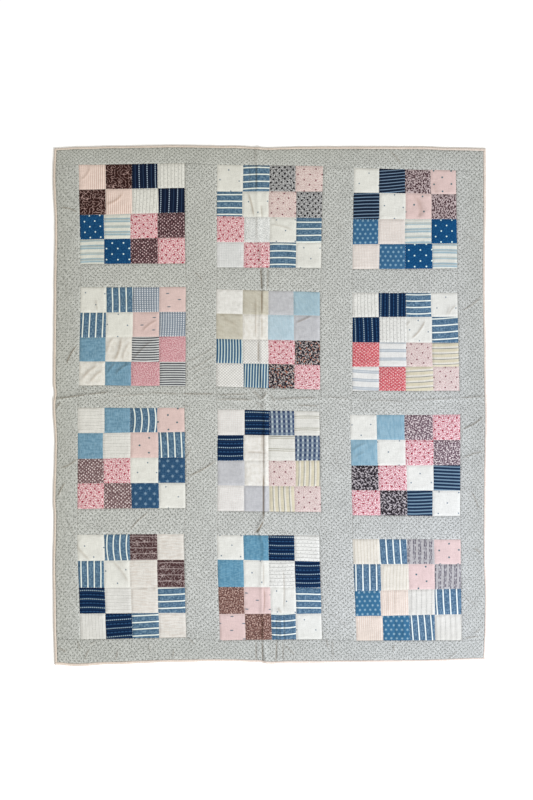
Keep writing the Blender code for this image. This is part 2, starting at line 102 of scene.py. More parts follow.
class Draft:
    """The shader of one cotton, drafted step by step on the cloth's own coordinates."""

    THREAD_PITCH = 0.75
    THREAD_DEPTH = 0.00008
    THREAD_STRENGTH = 0.35
    ROUGHNESS = 0.92
    SPECULAR = 0.08
    SHEEN = 0.03
    # Brown along the creases: partly real age staining, partly painted crease shade.
    STAIN_SHADE_TINT = dye(172, 142, 104)
    STAIN_SHADE_SHARE = 0.85
    AGE_SIZE = 55.0
    AGE_SHARE = 0.15
    SLUB_SHARE = 0.10
    SLUB_SIZE = 1.6
    SLUB_LENGTH = 14.0
    GRAIN_SIZE = 2.2
    GRAIN_SHARE = 0.32
    # Painted light tint: warm at the upper left and blue at the lower right, with the slant, start and end
    # of its change.
    WARM_LIGHT_TINT = (1.01, 1.0, 0.985)
    COOL_LIGHT_TINT = (0.985, 1.0, 1.11)
    LIGHT_TINT_LEAN = -0.60
    LIGHT_TINT_FROM = -0.60
    LIGHT_TINT_TO = 0.90
    # Painted shade: the colour darkens towards the quilt's outer edges, with its reach, centre and where it
    # starts and ends.
    EDGE_SHADE_TINT = (0.925, 0.925, 0.905)
    EDGE_SHADE_REACH = (0.5425, 0.650)
    EDGE_SHADE_LOW = 0.02
    EDGE_SHADE_FROM = 0.84
    EDGE_SHADE_TO = 0.97

    def __init__(self, name: str) -> None:
        """Starts the material and reads the cloth's coordinates in millimetres.

        Args:
            name: The material's name.
        """
        self.material = bpy.data.materials.new(name)
        self.material.use_nodes = True
        self.tree = self.material.node_tree
        self.shader = self.tree.nodes["Principled BSDF"]
        uv_map = self.add("ShaderNodeUVMap")
        uv_map.uv_map = CLOTH_UV
        scaled = self.add("ShaderNodeVectorMath", operation="SCALE")
        self.feed(scaled.inputs[0], uv_map.outputs[0])
        scaled.inputs["Scale"].default_value = 1 / MM
        self.point = scaled.outputs[0]
        split = self.add("ShaderNodeSeparateXYZ")
        self.feed(split.inputs[0], self.point)
        self.across, self.up = split.outputs[0], split.outputs[1]

    def add(self, kind: str, **settings: object) -> bpy.types.Node:
        """A new node of one kind, with its settings."""
        node = self.tree.nodes.new(kind)
        for key, value in settings.items():
            setattr(node, key, value)
        return node

    def feed(self, socket: Socket, value: object) -> None:
        """Links a socket into an input, or sets the input to a value."""
        if isinstance(value, bpy.types.NodeSocket):
            self.tree.links.new(value, socket)
        elif isinstance(value, tuple) and len(value) == 3 and socket.type == "RGBA":
            socket.default_value = (*value, 1.0)
        else:
            socket.default_value = value

    def math(self, operation: str, *values: object) -> Socket:
        """The result of one Math node."""
        node = self.add("ShaderNodeMath", operation=operation)
        for socket, value in zip(node.inputs, values):
            self.feed(socket, value)
        return node.outputs[0]

    def times(self, *values: object) -> Socket:
        """The product of two values."""
        return self.math("MULTIPLY", *values)

    def plus(self, *values: object) -> Socket:
        """The sum of two values."""
        return self.math("ADD", *values)

    def gained(self, *values: object) -> Socket:
        """The first value times the second, plus the third."""
        return self.math("MULTIPLY_ADD", *values)

    def minus(self, *values: object) -> Socket:
        """The first value less the second."""
        return self.math("SUBTRACT", *values)

    def over(self, *values: object) -> Socket:
        """The first value divided by the second."""
        return self.math("DIVIDE", *values)

    def size(self, value: Socket) -> Socket:
        """A value without its sign."""
        return self.math("ABSOLUTE", value)

    def step(self, value: Socket, low: float, high: float) -> Socket:
        """A soft step from 0 to 1 as a value rises from low to high."""
        node = self.add("ShaderNodeMapRange", interpolation_type="SMOOTHSTEP")
        for socket, entry in zip(node.inputs, (value, low, high, 0.0, 1.0)):
            self.feed(socket, entry)
        return node.outputs[0]

    def less(self, value: Socket) -> Socket:
        """One minus a value."""
        return self.minus(1.0, value)

    def mix(self, share: object, under: object, over: object, blend: str = "MIX") -> Socket:
        """Two colours blended by a share.

        Args:
            share: How much of the upper colour shows, 0 to 1.
            under: The colour below.
            over: The colour above.
            blend: The way they blend.

        Returns:
            The blended colour.
        """
        node = self.add("ShaderNodeMix", data_type="RGBA", blend_type=blend)
        self.feed(node.inputs[0], share)
        self.feed(node.inputs[6], under)
        self.feed(node.inputs[7], over)
        return node.outputs[2]

    def turned(self, turn: float, stretch: float) -> Socket:
        """The cloth's coordinates turned by degrees and squeezed along the turned height."""
        node = self.add("ShaderNodeMapping", vector_type="TEXTURE")
        self.feed(node.inputs["Vector"], self.point)
        node.inputs["Rotation"].default_value = (0.0, 0.0, math.radians(turn))
        node.inputs["Scale"].default_value = (1.0, stretch, 1.0)
        return node.outputs[0]

    def noise(self, size: float, detail: float = 1.0, at: Optional[Socket] = None) -> Socket:
        """Soft noise with features of a size in millimetres."""
        node = self.add("ShaderNodeTexNoise", noise_dimensions="2D")
        self.feed(node.inputs["Vector"], at or self.point)
        node.inputs["Scale"].default_value = 1.0 / size
        node.inputs["Detail"].default_value = detail
        return node.outputs[0]

    def finish(self, colour: Socket) -> bpy.types.Material:
        """Adds age, slubs and grain, a painted light tint, painted shade towards the edges, the brown along
        the creases that is partly real staining and partly painted crease shade, and the weave, and closes
        the shader.

        Args:
            colour: The printed colour of the cloth.

        Returns:
            The finished material.
        """
        slub_across = self.noise(self.SLUB_SIZE, 1.0, self.turned(0.0, self.SLUB_LENGTH))
        slub_up = self.noise(self.SLUB_SIZE, 1.0, self.turned(90.0, self.SLUB_LENGTH))
        slub = self.plus(slub_across, slub_up)
        slub_light = self.gained(slub, 2 * self.SLUB_SHARE, 1 - 2 * self.SLUB_SHARE)
        place = self.add("ShaderNodeTexCoord").outputs["Object"]
        age = self.add("ShaderNodeTexNoise", noise_dimensions="2D")
        self.feed(age.inputs["Vector"], place)
        age.inputs["Scale"].default_value = 1.0 / (self.AGE_SIZE * MM)
        age.inputs["Detail"].default_value = 3.0
        age_light = self.gained(age.outputs[0], self.AGE_SHARE, 1 - self.AGE_SHARE / 2)
        grain = self.noise(self.GRAIN_SIZE, 2.0)
        grain_light = self.gained(grain, self.GRAIN_SHARE, 1 - self.GRAIN_SHARE / 2)
        light = self.add("ShaderNodeCombineColor")
        level = self.times(self.times(slub_light, age_light), grain_light)
        for socket in light.inputs:
            self.feed(socket, level)
        # Painted light tint: the colour turns warmer towards the upper left and bluer towards the lower
        # right, as the studio light's colour falls across the quilt.
        spot = self.add("ShaderNodeSeparateXYZ")
        self.feed(spot.inputs[0], place)
        lean = self.gained(spot.outputs[1], self.LIGHT_TINT_LEAN, spot.outputs[0])
        cool_light_share = self.step(lean, self.LIGHT_TINT_FROM, self.LIGHT_TINT_TO)
        painted_light_tint = self.mix(cool_light_share, self.WARM_LIGHT_TINT, self.COOL_LIGHT_TINT)
        worn_and_lit = self.mix(1.0, colour, light.outputs[0], "MULTIPLY")
        worn_and_lit = self.mix(1.0, worn_and_lit, painted_light_tint, "MULTIPLY")
        # Painted shade: the colour darkens towards the quilt's outer edges.
        aside = self.over(self.size(spot.outputs[0]), self.EDGE_SHADE_REACH[0])
        above = self.size(self.minus(spot.outputs[1], self.EDGE_SHADE_LOW))
        above = self.over(above, self.EDGE_SHADE_REACH[1])
        edge_shade = self.step(self.math("MAXIMUM", aside, above), self.EDGE_SHADE_FROM, self.EDGE_SHADE_TO)
        worn_and_lit = self.mix(edge_shade, worn_and_lit, self.EDGE_SHADE_TINT, "MULTIPLY")
        # Brown along the creases: partly real age staining, partly painted crease shade.
        stain_shade_attribute = self.add("ShaderNodeAttribute", attribute_name=STAIN_SHADE_ATTR)
        share = self.times(stain_shade_attribute.outputs["Fac"], self.STAIN_SHADE_SHARE)
        stained_and_shaded = self.mix(share, worn_and_lit, self.STAIN_SHADE_TINT, "MULTIPLY")
        self.feed(self.shader.inputs["Base Color"], stained_and_shaded)
        turn = 2 * math.pi / self.THREAD_PITCH
        warp = self.math("SINE", self.times(self.across, turn))
        weft = self.math("SINE", self.times(self.up, turn))
        bump = self.add("ShaderNodeBump")
        bump.inputs["Strength"].default_value = self.THREAD_STRENGTH
        bump.inputs["Distance"].default_value = self.THREAD_DEPTH
        self.feed(bump.inputs["Height"], self.plus(self.times(warp, weft), slub))
        self.feed(self.shader.inputs["Normal"], bump.outputs[0])
        self.shader.inputs["Roughness"].default_value = self.ROUGHNESS
        self.shader.inputs["Specular IOR Level"].default_value = self.SPECULAR
        self.shader.inputs["Sheen Weight"].default_value = self.SHEEN
        return self.material


@dataclass(frozen=True)
class Stripes:
    """Evenly spaced lines.

    Attributes:
        colour: Their colour.
        period: Distance from one to the next, in millimetres, as all sizes here.
        width: Width of one.
        run: The way they run.
        shift: Shift across them.
        soft: Width of their soft edge.
        dash: Length of a dash with its gap, or 0 for a whole line.
        share: How strongly they cover what is below.
        ragged: How far their edges wander.
    """

    colour: Colour
    period: float
    width: float
    run: Run = Run.UPRIGHT
    shift: float = 0.0
    soft: float = 0.35
    dash: float = 0.0
    share: float = 1.0
    ragged: float = 0.0

    DASH_END = (0.26, 0.40)
    RAGGED_SIZE = 2.4

    def mask(self, draft: Draft) -> Socket:
        """How much of the layer shows, 0 to 1."""
        ahead, aside = draft.up, draft.across
        if self.run is Run.LEVEL:
            ahead, aside = aside, ahead
        elif self.run in (Run.RISING, Run.FALLING):
            kind = "SUBTRACT" if self.run is Run.RISING else "ADD"
            aside = draft.times(draft.math(kind, draft.across, draft.up), math.sqrt(0.5))
        place = draft.plus(aside, self.shift)
        if self.ragged:
            place = draft.gained(draft.noise(self.RAGGED_SIZE, 2.0), self.ragged, place)
        turn = draft.math("FRACT", draft.over(place, self.period))
        away = draft.size(draft.minus(turn, 0.5))
        edge = self.width / 2 / self.period
        soft = self.soft / 2 / self.period
        line = draft.less(draft.step(away, max(edge - soft, 0.0), edge + soft))
        if self.dash:
            beat = draft.math("FRACT", draft.over(ahead, self.dash))
            gap = draft.size(draft.minus(beat, 0.5))
            line = draft.times(line, draft.less(draft.step(gap, *self.DASH_END)))
        return draft.times(line, self.share)


@dataclass(frozen=True)
class Motifs:
    """Small motifs in half-drop rows.

    Attributes:
        colour: Their colour.
        pitch: Distance between their columns, and along one column, in millimetres.
        radius: Radius of one.
        shape: Their outline.
        soft: Width of their soft edge.
        jitter: How far they stray from their places.
        length: How much longer than high they are.
        share: How strongly they cover what is below.
        shift: Shift of the whole print.
    """

    colour: Colour
    pitch: tuple[float, float]
    radius: float
    shape: Shape = Shape.ROUND
    soft: float = 0.6
    jitter: float = 0.0
    length: float = 1.0
    share: float = 1.0
    shift: tuple[float, float] = (0.0, 0.0)

    STAR_ARMS = 6.0
    STAR_DEPTH = 0.38
    SPRIG_SIZE = 1.3
    SPRIG_REACH = 2.2

    def mask(self, draft: Draft) -> Socket:
        """How much of the layer shows, 0 to 1."""
        across = draft.plus(draft.across, self.shift[0])
        up = draft.plus(draft.up, self.shift[1])
        column = draft.over(across, self.pitch[0])
        index = draft.math("FLOOR", column)
        row = draft.gained(index, 0.5, draft.over(up, self.pitch[1]))
        aside = self.offset(draft, column, self.pitch[0])
        above = self.offset(draft, row, self.pitch[1])
        if self.jitter:
            cell = draft.add("ShaderNodeCombineXYZ")
            draft.feed(cell.inputs[0], index)
            draft.feed(cell.inputs[1], draft.math("FLOOR", row))
            chance = draft.add("ShaderNodeTexWhiteNoise", noise_dimensions="2D")
            draft.feed(chance.inputs["Vector"], cell.outputs[0])
            split = draft.add("ShaderNodeSeparateColor")
            draft.feed(split.inputs[0], chance.outputs["Color"])
            aside = draft.gained(split.outputs[0], self.jitter, aside)
            above = draft.gained(split.outputs[1], self.jitter, above)
        flat = draft.over(aside, self.length)
        square = draft.plus(draft.times(flat, flat), draft.times(above, above))
        reach = draft.math("SQRT", square)
        if self.shape is Shape.STAR:
            angle = draft.math("ARCTAN2", above, aside)
            wave = draft.math("COSINE", draft.times(angle, self.STAR_ARMS))
            swell = draft.gained(wave, self.STAR_DEPTH, 1.0)
            reach = draft.times(reach, swell)
        elif self.shape is Shape.SPRIG:
            wobble = draft.noise(self.SPRIG_SIZE, 1.0)
            reach = draft.gained(wobble, self.SPRIG_REACH, reach)
            reach = draft.minus(reach, self.SPRIG_REACH / 2)
        low = max(self.radius - self.soft / 2, 0.0)
        spot = draft.less(draft.step(reach, low, self.radius + self.soft / 2))
        return draft.times(spot, self.share)

    @staticmethod
    def offset(draft: Draft, place: Socket, pitch: float) -> Socket:
        """Distance from the middle of the repeat that a place lies in."""
        share = draft.minus(draft.math("FRACT", place), 0.5)
        return draft.times(share, pitch)


@dataclass(frozen=True)
class Flecks:
    """Irregular small marks, or leaves where they are long.

    Attributes:
        colour: Their colour.
        size: Their size in millimetres.
        cover: Share of the cloth that they cover.
        stretch: How much longer than wide they are.
        turn: The way they lie, in degrees.
        soft: Softness of their edge.
        share: How strongly they cover what is below.
    """

    colour: Colour
    size: float
    cover: float
    stretch: float = 1.0
    turn: float = 0.0
    soft: float = 0.06
    share: float = 1.0

    SPREAD = 0.30

    def mask(self, draft: Draft) -> Socket:
        """How much of the layer shows, 0 to 1."""
        at = draft.turned(self.turn, self.stretch)
        value = draft.noise(self.size, 0.0, at)
        edge = 0.5 + self.SPREAD * (0.5 - self.cover)
        return draft.times(draft.step(value, edge - self.soft, edge + self.soft), self.share)


@dataclass(frozen=True)
class Vermicelli:
    """Fine winding lines.

    Attributes:
        colour: Their colour.
        size: Size of their bends in millimetres.
        width: Their width, as a share of the noise's height.
        stretch: How much longer than wide the bends are.
        turn: The way they lie, in degrees.
        share: How strongly they cover what is below.
    """

    colour: Colour
    size: float
    width: float
    stretch: float = 1.0
    turn: float = 0.0
    share: float = 1.0

    EDGE = (0.5, 1.5)

    def mask(self, draft: Draft) -> Socket:
        """How much of the layer shows, 0 to 1."""
        low, high = (self.width * share for share in self.EDGE)
        value = draft.noise(self.size, 0.5, draft.turned(self.turn, self.stretch))
        away = draft.size(draft.minus(value, 0.5))
        line = draft.less(draft.step(away, low, high))
        return draft.times(line, self.share)


Layer = Stripes | Motifs | Flecks | Vermicelli


@dataclass(frozen=True)
class Cotton:
    """One cotton: its ground and what is printed or woven on it.

    Attributes:
        name: A plain name.
        ground: The ground colour.
        layers: The layers on it, lowest first.
    """

    name: str
    ground: Colour
    layers: tuple[Layer, ...] = ()

    def material(self) -> bpy.types.Material:
        """The finished material of this cotton."""
        draft = Draft("cotton_" + self.name)
        colour: object = self.ground
        for layer in self.layers:
            colour = draft.mix(layer.mask(draft), colour, layer.colour)
        if isinstance(colour, tuple):
            colour = draft.mix(0.0, colour, colour)
        return draft.finish(colour)


def checked(colour: Colour, period: float, width: float, share: float) -> tuple[Layer, ...]:
    """Lines of one colour both ways over the cloth."""
    return (
        Stripes(colour, period, width, Run.UPRIGHT, share=share),
        Stripes(colour, period, width, Run.LEVEL, share=share),
    )


ROSE_DARK = dye(150, 30, 52)

# The dyes were picked, then scaled by a measured average for each cotton
COTTONS = (
    Cotton("plain_cream", dye(228, 226, 219), (Flecks(dye(216, 212, 202), 9.0, 0.4, soft=0.2, share=0.6),)),
    Cotton("plain_white", dye(228, 227, 222), (Flecks(dye(216, 215, 209), 9.0, 0.4, soft=0.2, share=0.6),)),
    Cotton("plain_khaki", dye(198, 194, 179), (
        Flecks(dye(186, 180, 163), 7.0, 0.4, 3.0, 60.0, 0.2, 0.6),)),
    Cotton("plain_lavender", dye(193, 194, 196), (
        Flecks(dye(183, 184, 187), 8.0, 0.4, soft=0.2, share=0.6),)),
    Cotton("white_sprig", dye(223, 223, 215), (
        Motifs(dye(103, 121, 137), (24.0, 54.0), 1.7, Shape.SPRIG, jitter=6.0),)),
    Cotton("white_speck", dye(218, 220, 217), (
        Flecks(dye(177, 180, 179), 2.8, 0.42, share=0.65),
        Flecks(dye(238, 239, 236), 3.2, 0.30, share=0.7))),
    Cotton("grey_check", dye(223, 224, 222), checked(dye(198, 200, 200), 4.2, 1.3, 0.6)),
    Cotton("pink_check", dye(223, 222, 217), checked(dye(211, 199, 194), 5.2, 1.4, 0.35)),
    Cotton("peach_check", dye(228, 223, 216), checked(dye(206, 190, 180), 3.8, 1.1, 0.6)),
    Cotton("peach_rib", dye(239, 221, 211), (
        Stripes(dye(195, 161, 148), 5.0, 1.5, share=0.8),)),
    Cotton("peach_rib_pale", dye(226, 214, 200), (
        Stripes(dye(206, 182, 165), 5.0, 1.4, share=0.7),)),
    Cotton("peach_line", dye(222, 219, 211), (
        Stripes(dye(206, 194, 184), 7.2, 1.3, ragged=1.5, share=0.45),
        Flecks(dye(208, 199, 188), 3.0, 0.2, 6.0, 0.0, 0.1, 0.6))),
    Cotton("cream_rib", dye(221, 216, 202), (Stripes(dye(199, 191, 173), 7.8, 2.0, soft=0.8, share=0.7),)),
    Cotton("faint_line", dye(221, 220, 214), (
        Stripes(dye(151, 152, 145), 8.6, 1.2, dash=3.4, share=0.7),
        Stripes(dye(199, 199, 194), 8.6, 1.0, shift=4.3, share=0.5))),
    Cotton("dotted_line", dye(225, 225, 218), (
        Stripes(dye(122, 121, 117), 8.7, 1.5, dash=3.4, share=0.8),
        Motifs(dye(139, 138, 136), (8.7, 11.0), 1.1, jitter=2.0, share=0.6, shift=(4.3, 0.0)))),
    Cotton("grey_line", dye(218, 216, 206), (
        Stripes(dye(131, 130, 125), 12.6, 1.5, dash=3.0, share=0.8),
        Stripes(dye(183, 182, 173), 6.3, 0.9, share=0.5))),
    Cotton("olive_line", dye(219, 218, 210), (
        Stripes(dye(128, 126, 100), 31.0, 1.6, share=0.85),
        Stripes(dye(156, 150, 128), 31.0, 1.2, shift=5.0),
        Stripes(dye(200, 200, 190), 7.75, 1.0, share=0.5))),
    Cotton("diagonal_grid", dye(230, 229, 224), (
        Stripes(dye(145, 143, 136), 5.4, 1.1, Run.RISING, share=0.6),
        Stripes(dye(145, 143, 136), 5.4, 1.1, Run.FALLING, share=0.6))),
    Cotton("straw_stripe", dye(220, 216, 203), (
        Stripes(dye(209, 201, 173), 14.0, 7.4, shift=5.0, soft=1.2, share=0.9),
        Stripes(dye(110, 113, 106), 14.0, 1.6, soft=0.5, share=0.95))),
    Cotton("cloud_band", dye(224, 224, 219), (
        Stripes(dye(169, 178, 184), 22.0, 8.0, soft=1.8, share=0.9),
        Stripes(dye(206, 210, 211), 22.0, 1.8, soft=0.8))),
    Cotton("sky_band", dye(220, 221, 211), (
        Stripes(dye(128, 163, 179), 34.0, 10.5, soft=4.0, ragged=1.6, share=0.9),
        Stripes(dye(190, 205, 207), 34.0, 2.4, shift=2.0, soft=1.2),
        Stripes(dye(150, 176, 185), 34.0, 6.5, shift=17.0, soft=3.0, ragged=1.2, share=0.8),
        Stripes(dye(196, 194, 180), 17.0, 2.2, shift=8.0, soft=1.0, share=0.7))),
    Cotton("lilac_band", dye(177, 174, 172), (
        Stripes(dye(88, 84, 95), 13.0, 3.0, shift=-2.0, ragged=1.4, soft=0.7, share=0.9),
        Stripes(dye(88, 84, 95), 13.0, 3.0, shift=2.0, ragged=1.4, soft=0.7, share=0.9),
        Flecks(dye(130, 127, 132), 2.2, 0.30, 3.0, 0.0, 0.06, 0.6),
        Flecks(dye(199, 198, 195), 2.2, 0.18, 3.0, 0.0, 0.06, 0.7))),
    Cotton("ticking", dye(206, 209, 209), (Stripes(dye(55, 58, 65), 6.1, 2.9),)),
    Cotton("blue_pin", dye(202, 217, 212), (Stripes(dye(53, 93, 125), 7.2, 4.5),)),
    Cotton("denim_stripe", dye(81, 112, 137), (
        Flecks(dye(126, 153, 171), 2.2, 0.34, 4.0, 0.0, 0.1, 0.8),
        Flecks(dye(53, 85, 112), 2.2, 0.26, 4.0, 90.0, 0.1, 0.7),
        Stripes(dye(51, 85, 112), 16.7, 1.3, shift=2.8, share=0.6),
        Stripes(dye(51, 85, 112), 16.7, 1.3, shift=-2.8, share=0.6),
        Stripes(dye(233, 240, 232), 16.7, 3.1, soft=0.7))),
    Cotton("navy_dash", dye(9, 21, 45), (
        Stripes(dye(53, 76, 106), 20.5, 2.0, shift=10.2, soft=1.0, share=0.6),
        Stripes(dye(28, 47, 75), 6.8, 1.3, share=0.5),
        Stripes(dye(180, 200, 217), 20.5, 2.1, dash=5.0, soft=0.8, share=0.9))),
    Cotton("blue_dash", dye(6, 30, 61), (
        Stripes(dye(51, 89, 126), 20.5, 2.4, shift=10.2, soft=1.0, dash=9.0, share=0.8),
        Stripes(dye(30, 68, 106), 6.8, 1.8, shift=3.4, share=0.55),
        Stripes(dye(169, 193, 204), 20.5, 2.2, dash=5.0, soft=0.8, share=0.8))),
    Cotton("navy_rib", dye(17, 31, 52), (Stripes(dye(122, 147, 169), 8.0, 2.0, soft=0.7),)),
    Cotton("ocean_stripe", dye(24, 45, 71), (Stripes(dye(117, 144, 162), 8.3, 3.1, soft=0.8),)),
    Cotton("gingham", dye(186, 197, 199), (
        Stripes(dye(40, 70, 106), 12.4, 7.6, Run.UPRIGHT, soft=0.9, share=0.52),
        Stripes(dye(40, 70, 106), 12.4, 7.6, Run.LEVEL, soft=0.9, share=0.52),
        Motifs(dye(14, 42, 88), (12.4, 24.8), 3.7, soft=1.2, share=0.85),
        Motifs(dye(14, 42, 88), (12.4, 24.8), 3.7, soft=1.2, share=0.85, shift=(0.0, 12.4)))),
    Cotton("grey_dash", dye(131, 142, 154), (
        Stripes(dye(228, 232, 236), 6.2, 2.4, dash=5.0, share=0.9),
        Stripes(dye(97, 109, 126), 10.0, 1.4, Run.LEVEL, share=0.6))),
    Cotton("pink_dash", dye(218, 194, 189), (
        Motifs(dye(111, 121, 129), (30.0, 36.0), 1.4, jitter=6.0, length=3.2),)),
    Cotton("pink_sprig", dye(218, 194, 188), (
        Motifs(dye(82, 110, 117), (23.0, 36.0), 2.3, Shape.SPRIG, jitter=3.0),)),
    Cotton("pink_dot", dye(224, 210, 203), (
        Flecks(dye(192, 161, 159), 2.4, 0.38, soft=0.04, share=0.8),
        Motifs(dye(114, 59, 70), (14.0, 26.0), 1.9, Shape.SPRIG, jitter=4.0))),
    Cotton("rose_calico", dye(219, 170, 175), (
        Flecks(dye(247, 233, 229), 3.0, 0.38, share=0.9),
        Flecks(dye(175, 78, 98), 2.5, 0.26, share=0.8),
        Motifs(ROSE_DARK, (10.0, 21.0), 2.1, Shape.SPRIG, jitter=3.0))),
    Cotton("rose_vine", dye(183, 115, 126), (
        Flecks(dye(226, 192, 193), 2.3, 0.42, share=0.85),
        Vermicelli(dye(222, 184, 187), 3.4, 0.050, share=0.7))),
    Cotton("coral", dye(195, 85, 94), (
        Flecks(dye(168, 57, 72), 3.0, 0.26, share=0.6),
        Flecks(dye(221, 148, 147), 2.4, 0.26, 1.6, 45.0, share=0.8),
        Motifs(dye(238, 200, 196), (4.8, 8.4), 1.4, Shape.SPRIG, soft=0.4, jitter=2.0))),
    Cotton("black_calico", dye(158, 158, 157), (
        Flecks(dye(213, 214, 213), 2.8, 0.34, share=0.85),
        Flecks(dye(71, 70, 74), 2.6, 0.30, share=0.8),
        Motifs(dye(23, 21, 27), (7.2, 15.0), 2.5, Shape.SPRIG, jitter=3.0))),
    Cotton("brown_motif", dye(54, 33, 37), (
        Flecks(dye(133, 99, 104), 2.6, 0.38, share=0.7),
        Motifs(dye(214, 189, 190), (4.6, 9.2), 1.6, Shape.SPRIG, jitter=3.2))),
    Cotton("brown_motif_pale", dye(96, 74, 76), (
        Flecks(dye(158, 132, 132), 2.6, 0.38, share=0.7),
        Motifs(dye(229, 214, 212), (4.6, 9.2), 1.8, Shape.SPRIG, jitter=3.2))),
    Cotton("brown_vine", dye(46, 24, 21), (
        Flecks(dye(70, 43, 39), 4.0, 0.40, share=0.7),
        Vermicelli(dye(197, 167, 161), 9.0, 0.030, share=0.75),
        Stripes(dye(177, 148, 141), 21.0, 1.1, dash=6.0, share=0.6))),
    Cotton("brown_vine_pale", dye(70, 48, 49), (
        Flecks(dye(96, 73, 73), 4.0, 0.40, share=0.7),
        Vermicelli(dye(196, 180, 177), 8.0, 0.028, share=0.75),
        Stripes(dye(190, 174, 171), 14.0, 1.4, Run.UPRIGHT, share=0.7))),
    Cotton("brown_speckle", dye(122, 89, 80), (
        Flecks(dye(204, 176, 163), 3.3, 0.28, soft=0.03, share=0.8),
        Flecks(dye(84, 55, 52), 3.6, 0.32, soft=0.03, share=0.8))),
    Cotton("maroon_vine", dye(69, 45, 51), (
        Flecks(dye(185, 167, 167), 3.3, 0.36, 1.7, 0.0, 0.03, 0.9),
        Flecks(dye(210, 196, 194), 2.8, 0.10, 1.7, 0.0, 0.03, 0.8))),
    Cotton("purple_speckle", dye(122, 101, 109), (
        Flecks(dye(231, 219, 216), 4.0, 0.40, soft=0.03, share=0.85),
        Flecks(dye(76, 56, 69), 3.2, 0.28, soft=0.03, share=0.8))),
    Cotton("leaf_black", dye(28, 25, 31), (
        Flecks(dye(79, 75, 82), 2.6, 0.22, 1.5, 60.0, 0.04, 0.8),
        Flecks(dye(168, 110, 91), 4.2, -0.10, 1.5, -40.0, 0.02),
        Flecks(dye(187, 176, 171), 3.4, 0.02, 1.6, 45.0, 0.02),
        Flecks(dye(170, 165, 164), 3.0, -0.10, 1.6, -35.0, 0.02))),
    Cotton("paisley_black", dye(30, 25, 31), (
        Flecks(dye(94, 87, 93), 2.6, 0.24, 1.5, -30.0, 0.04, 0.8),
        Flecks(dye(187, 180, 181), 3.6, 0.04, 1.7, 50.0, 0.02, 0.95),
        Flecks(dye(177, 170, 173), 3.2, -0.10, 1.7, -50.0, 0.02, 0.9))),
    Cotton("indigo_dot", dye(12, 68, 113), (
        Flecks(dye(29, 89, 133), 4.0, 0.4, share=0.6),
        Motifs(dye(219, 247, 240), (14.0, 28.0), 1.9, soft=0.8))),
    Cotton("indigo_dot_deep", dye(15, 65, 109), (
        Flecks(dye(36, 90, 131), 4.0, 0.4, share=0.6),
        Motifs(dye(225, 245, 242), (14.0, 28.0), 1.9, soft=0.8))),
    Cotton("indigo_star", dye(40, 76, 109), (
        Flecks(dye(70, 105, 137), 2.6, 0.25, share=0.6),
        Motifs(dye(137, 163, 182), (11.0, 26.0), 2.8, Shape.STAR, soft=1.8, jitter=2.0, share=0.75))),
    Cotton("star_blue", dye(55, 101, 137), (
        Motifs(dye(148, 183, 201), (6.6, 22.0), 2.3, Shape.STAR, soft=1.4, share=0.85),)),
    Cotton("star_blue_light", dye(56, 105, 137), (
        Motifs(dye(150, 180, 191), (6.6, 22.0), 2.3, Shape.STAR, soft=1.4, share=0.85),)),
    Cotton("chambray_teal", dye(117, 155, 177), (
        Flecks(dye(97, 136, 158), 5.0, 0.4, 4.0, 90.0, 0.15, 0.7),
        Flecks(dye(141, 176, 195), 3.0, 0.2, 3.0, 0.0, 0.1, 0.5))),
    Cotton("chambray_blue", dye(99, 147, 171), (
        Flecks(dye(81, 130, 155), 5.0, 0.4, 4.0, 0.0, 0.15, 0.7),
        Flecks(dye(124, 167, 186), 3.0, 0.2, 3.0, 90.0, 0.1, 0.5))),
    Cotton("chambray_light", dye(144, 177, 191), (
        Flecks(dye(125, 162, 179), 5.0, 0.4, 4.0, 0.0, 0.15, 0.7),)),
    Cotton("chambray_sky", dye(165, 190, 199), (Flecks(dye(152, 179, 191), 6.0, 0.4, 3.0, 30.0, 0.2, 0.6),)),
    Cotton("chambray_pale", dye(184, 204, 213), (
        Flecks(dye(172, 195, 205), 6.0, 0.4, 3.0, 30.0, 0.2, 0.6),)),
    Cotton("print_grey", dye(204, 206, 201), (
        Flecks(dye(173, 175, 169), 2.9, 0.36, 1.3, -35.0, 0.05, 0.65),
        Motifs(dye(94, 96, 90), (5.9, 11.9), 1.4, Shape.SPRIG, jitter=1.3, soft=0.6, share=0.75),
        Motifs(dye(230, 232, 229), (5.9, 11.9), 1.2, jitter=2.4, soft=0.9, share=0.4, shift=(0.0, 5.9)),
        Flecks(dye(110, 112, 106), 2.4, 0.04, 1.2, 30.0, 0.04, 0.7))),
    Cotton("print_grey_slant", dye(194, 196, 191), (
        Flecks(dye(142, 144, 139), 2.9, 0.24, 2.6, -45.0, 0.06, 0.65),
        Motifs(dye(87, 89, 84), (5.9, 11.9), 1.4, Shape.SPRIG, jitter=1.0, soft=0.6, share=0.75),
        Flecks(dye(222, 224, 221), 2.7, 0.06, 2.4, -45.0, 0.05, 0.5))),
    Cotton("binding_pink", dye(238, 226, 214), (
        *checked(dye(210, 186, 170), 3.4, 1.3, 0.5), Flecks(dye(244, 236, 228), 3.0, 0.3, share=0.5))),
    Cotton("backing_pink", dye(229, 215, 207), checked(dye(214, 190, 180), 3.4, 1.2, 0.5)),
    Cotton("thread_white", dye(226, 222, 212)),
)


@dataclass(frozen=True)
class FourPatch:
    """A quarter of a block: two cottons, each on one diagonal.

    Attributes:
        first: Cotton of the upper left and lower right patch; a slash turns its stripes.
        second: Cotton of the other two.
    """

    first: str
    second: str

    def cotton(self, row: int, column: int) -> str:
        """The cotton of one of the four patches."""
        return self.first if row == column else self.second


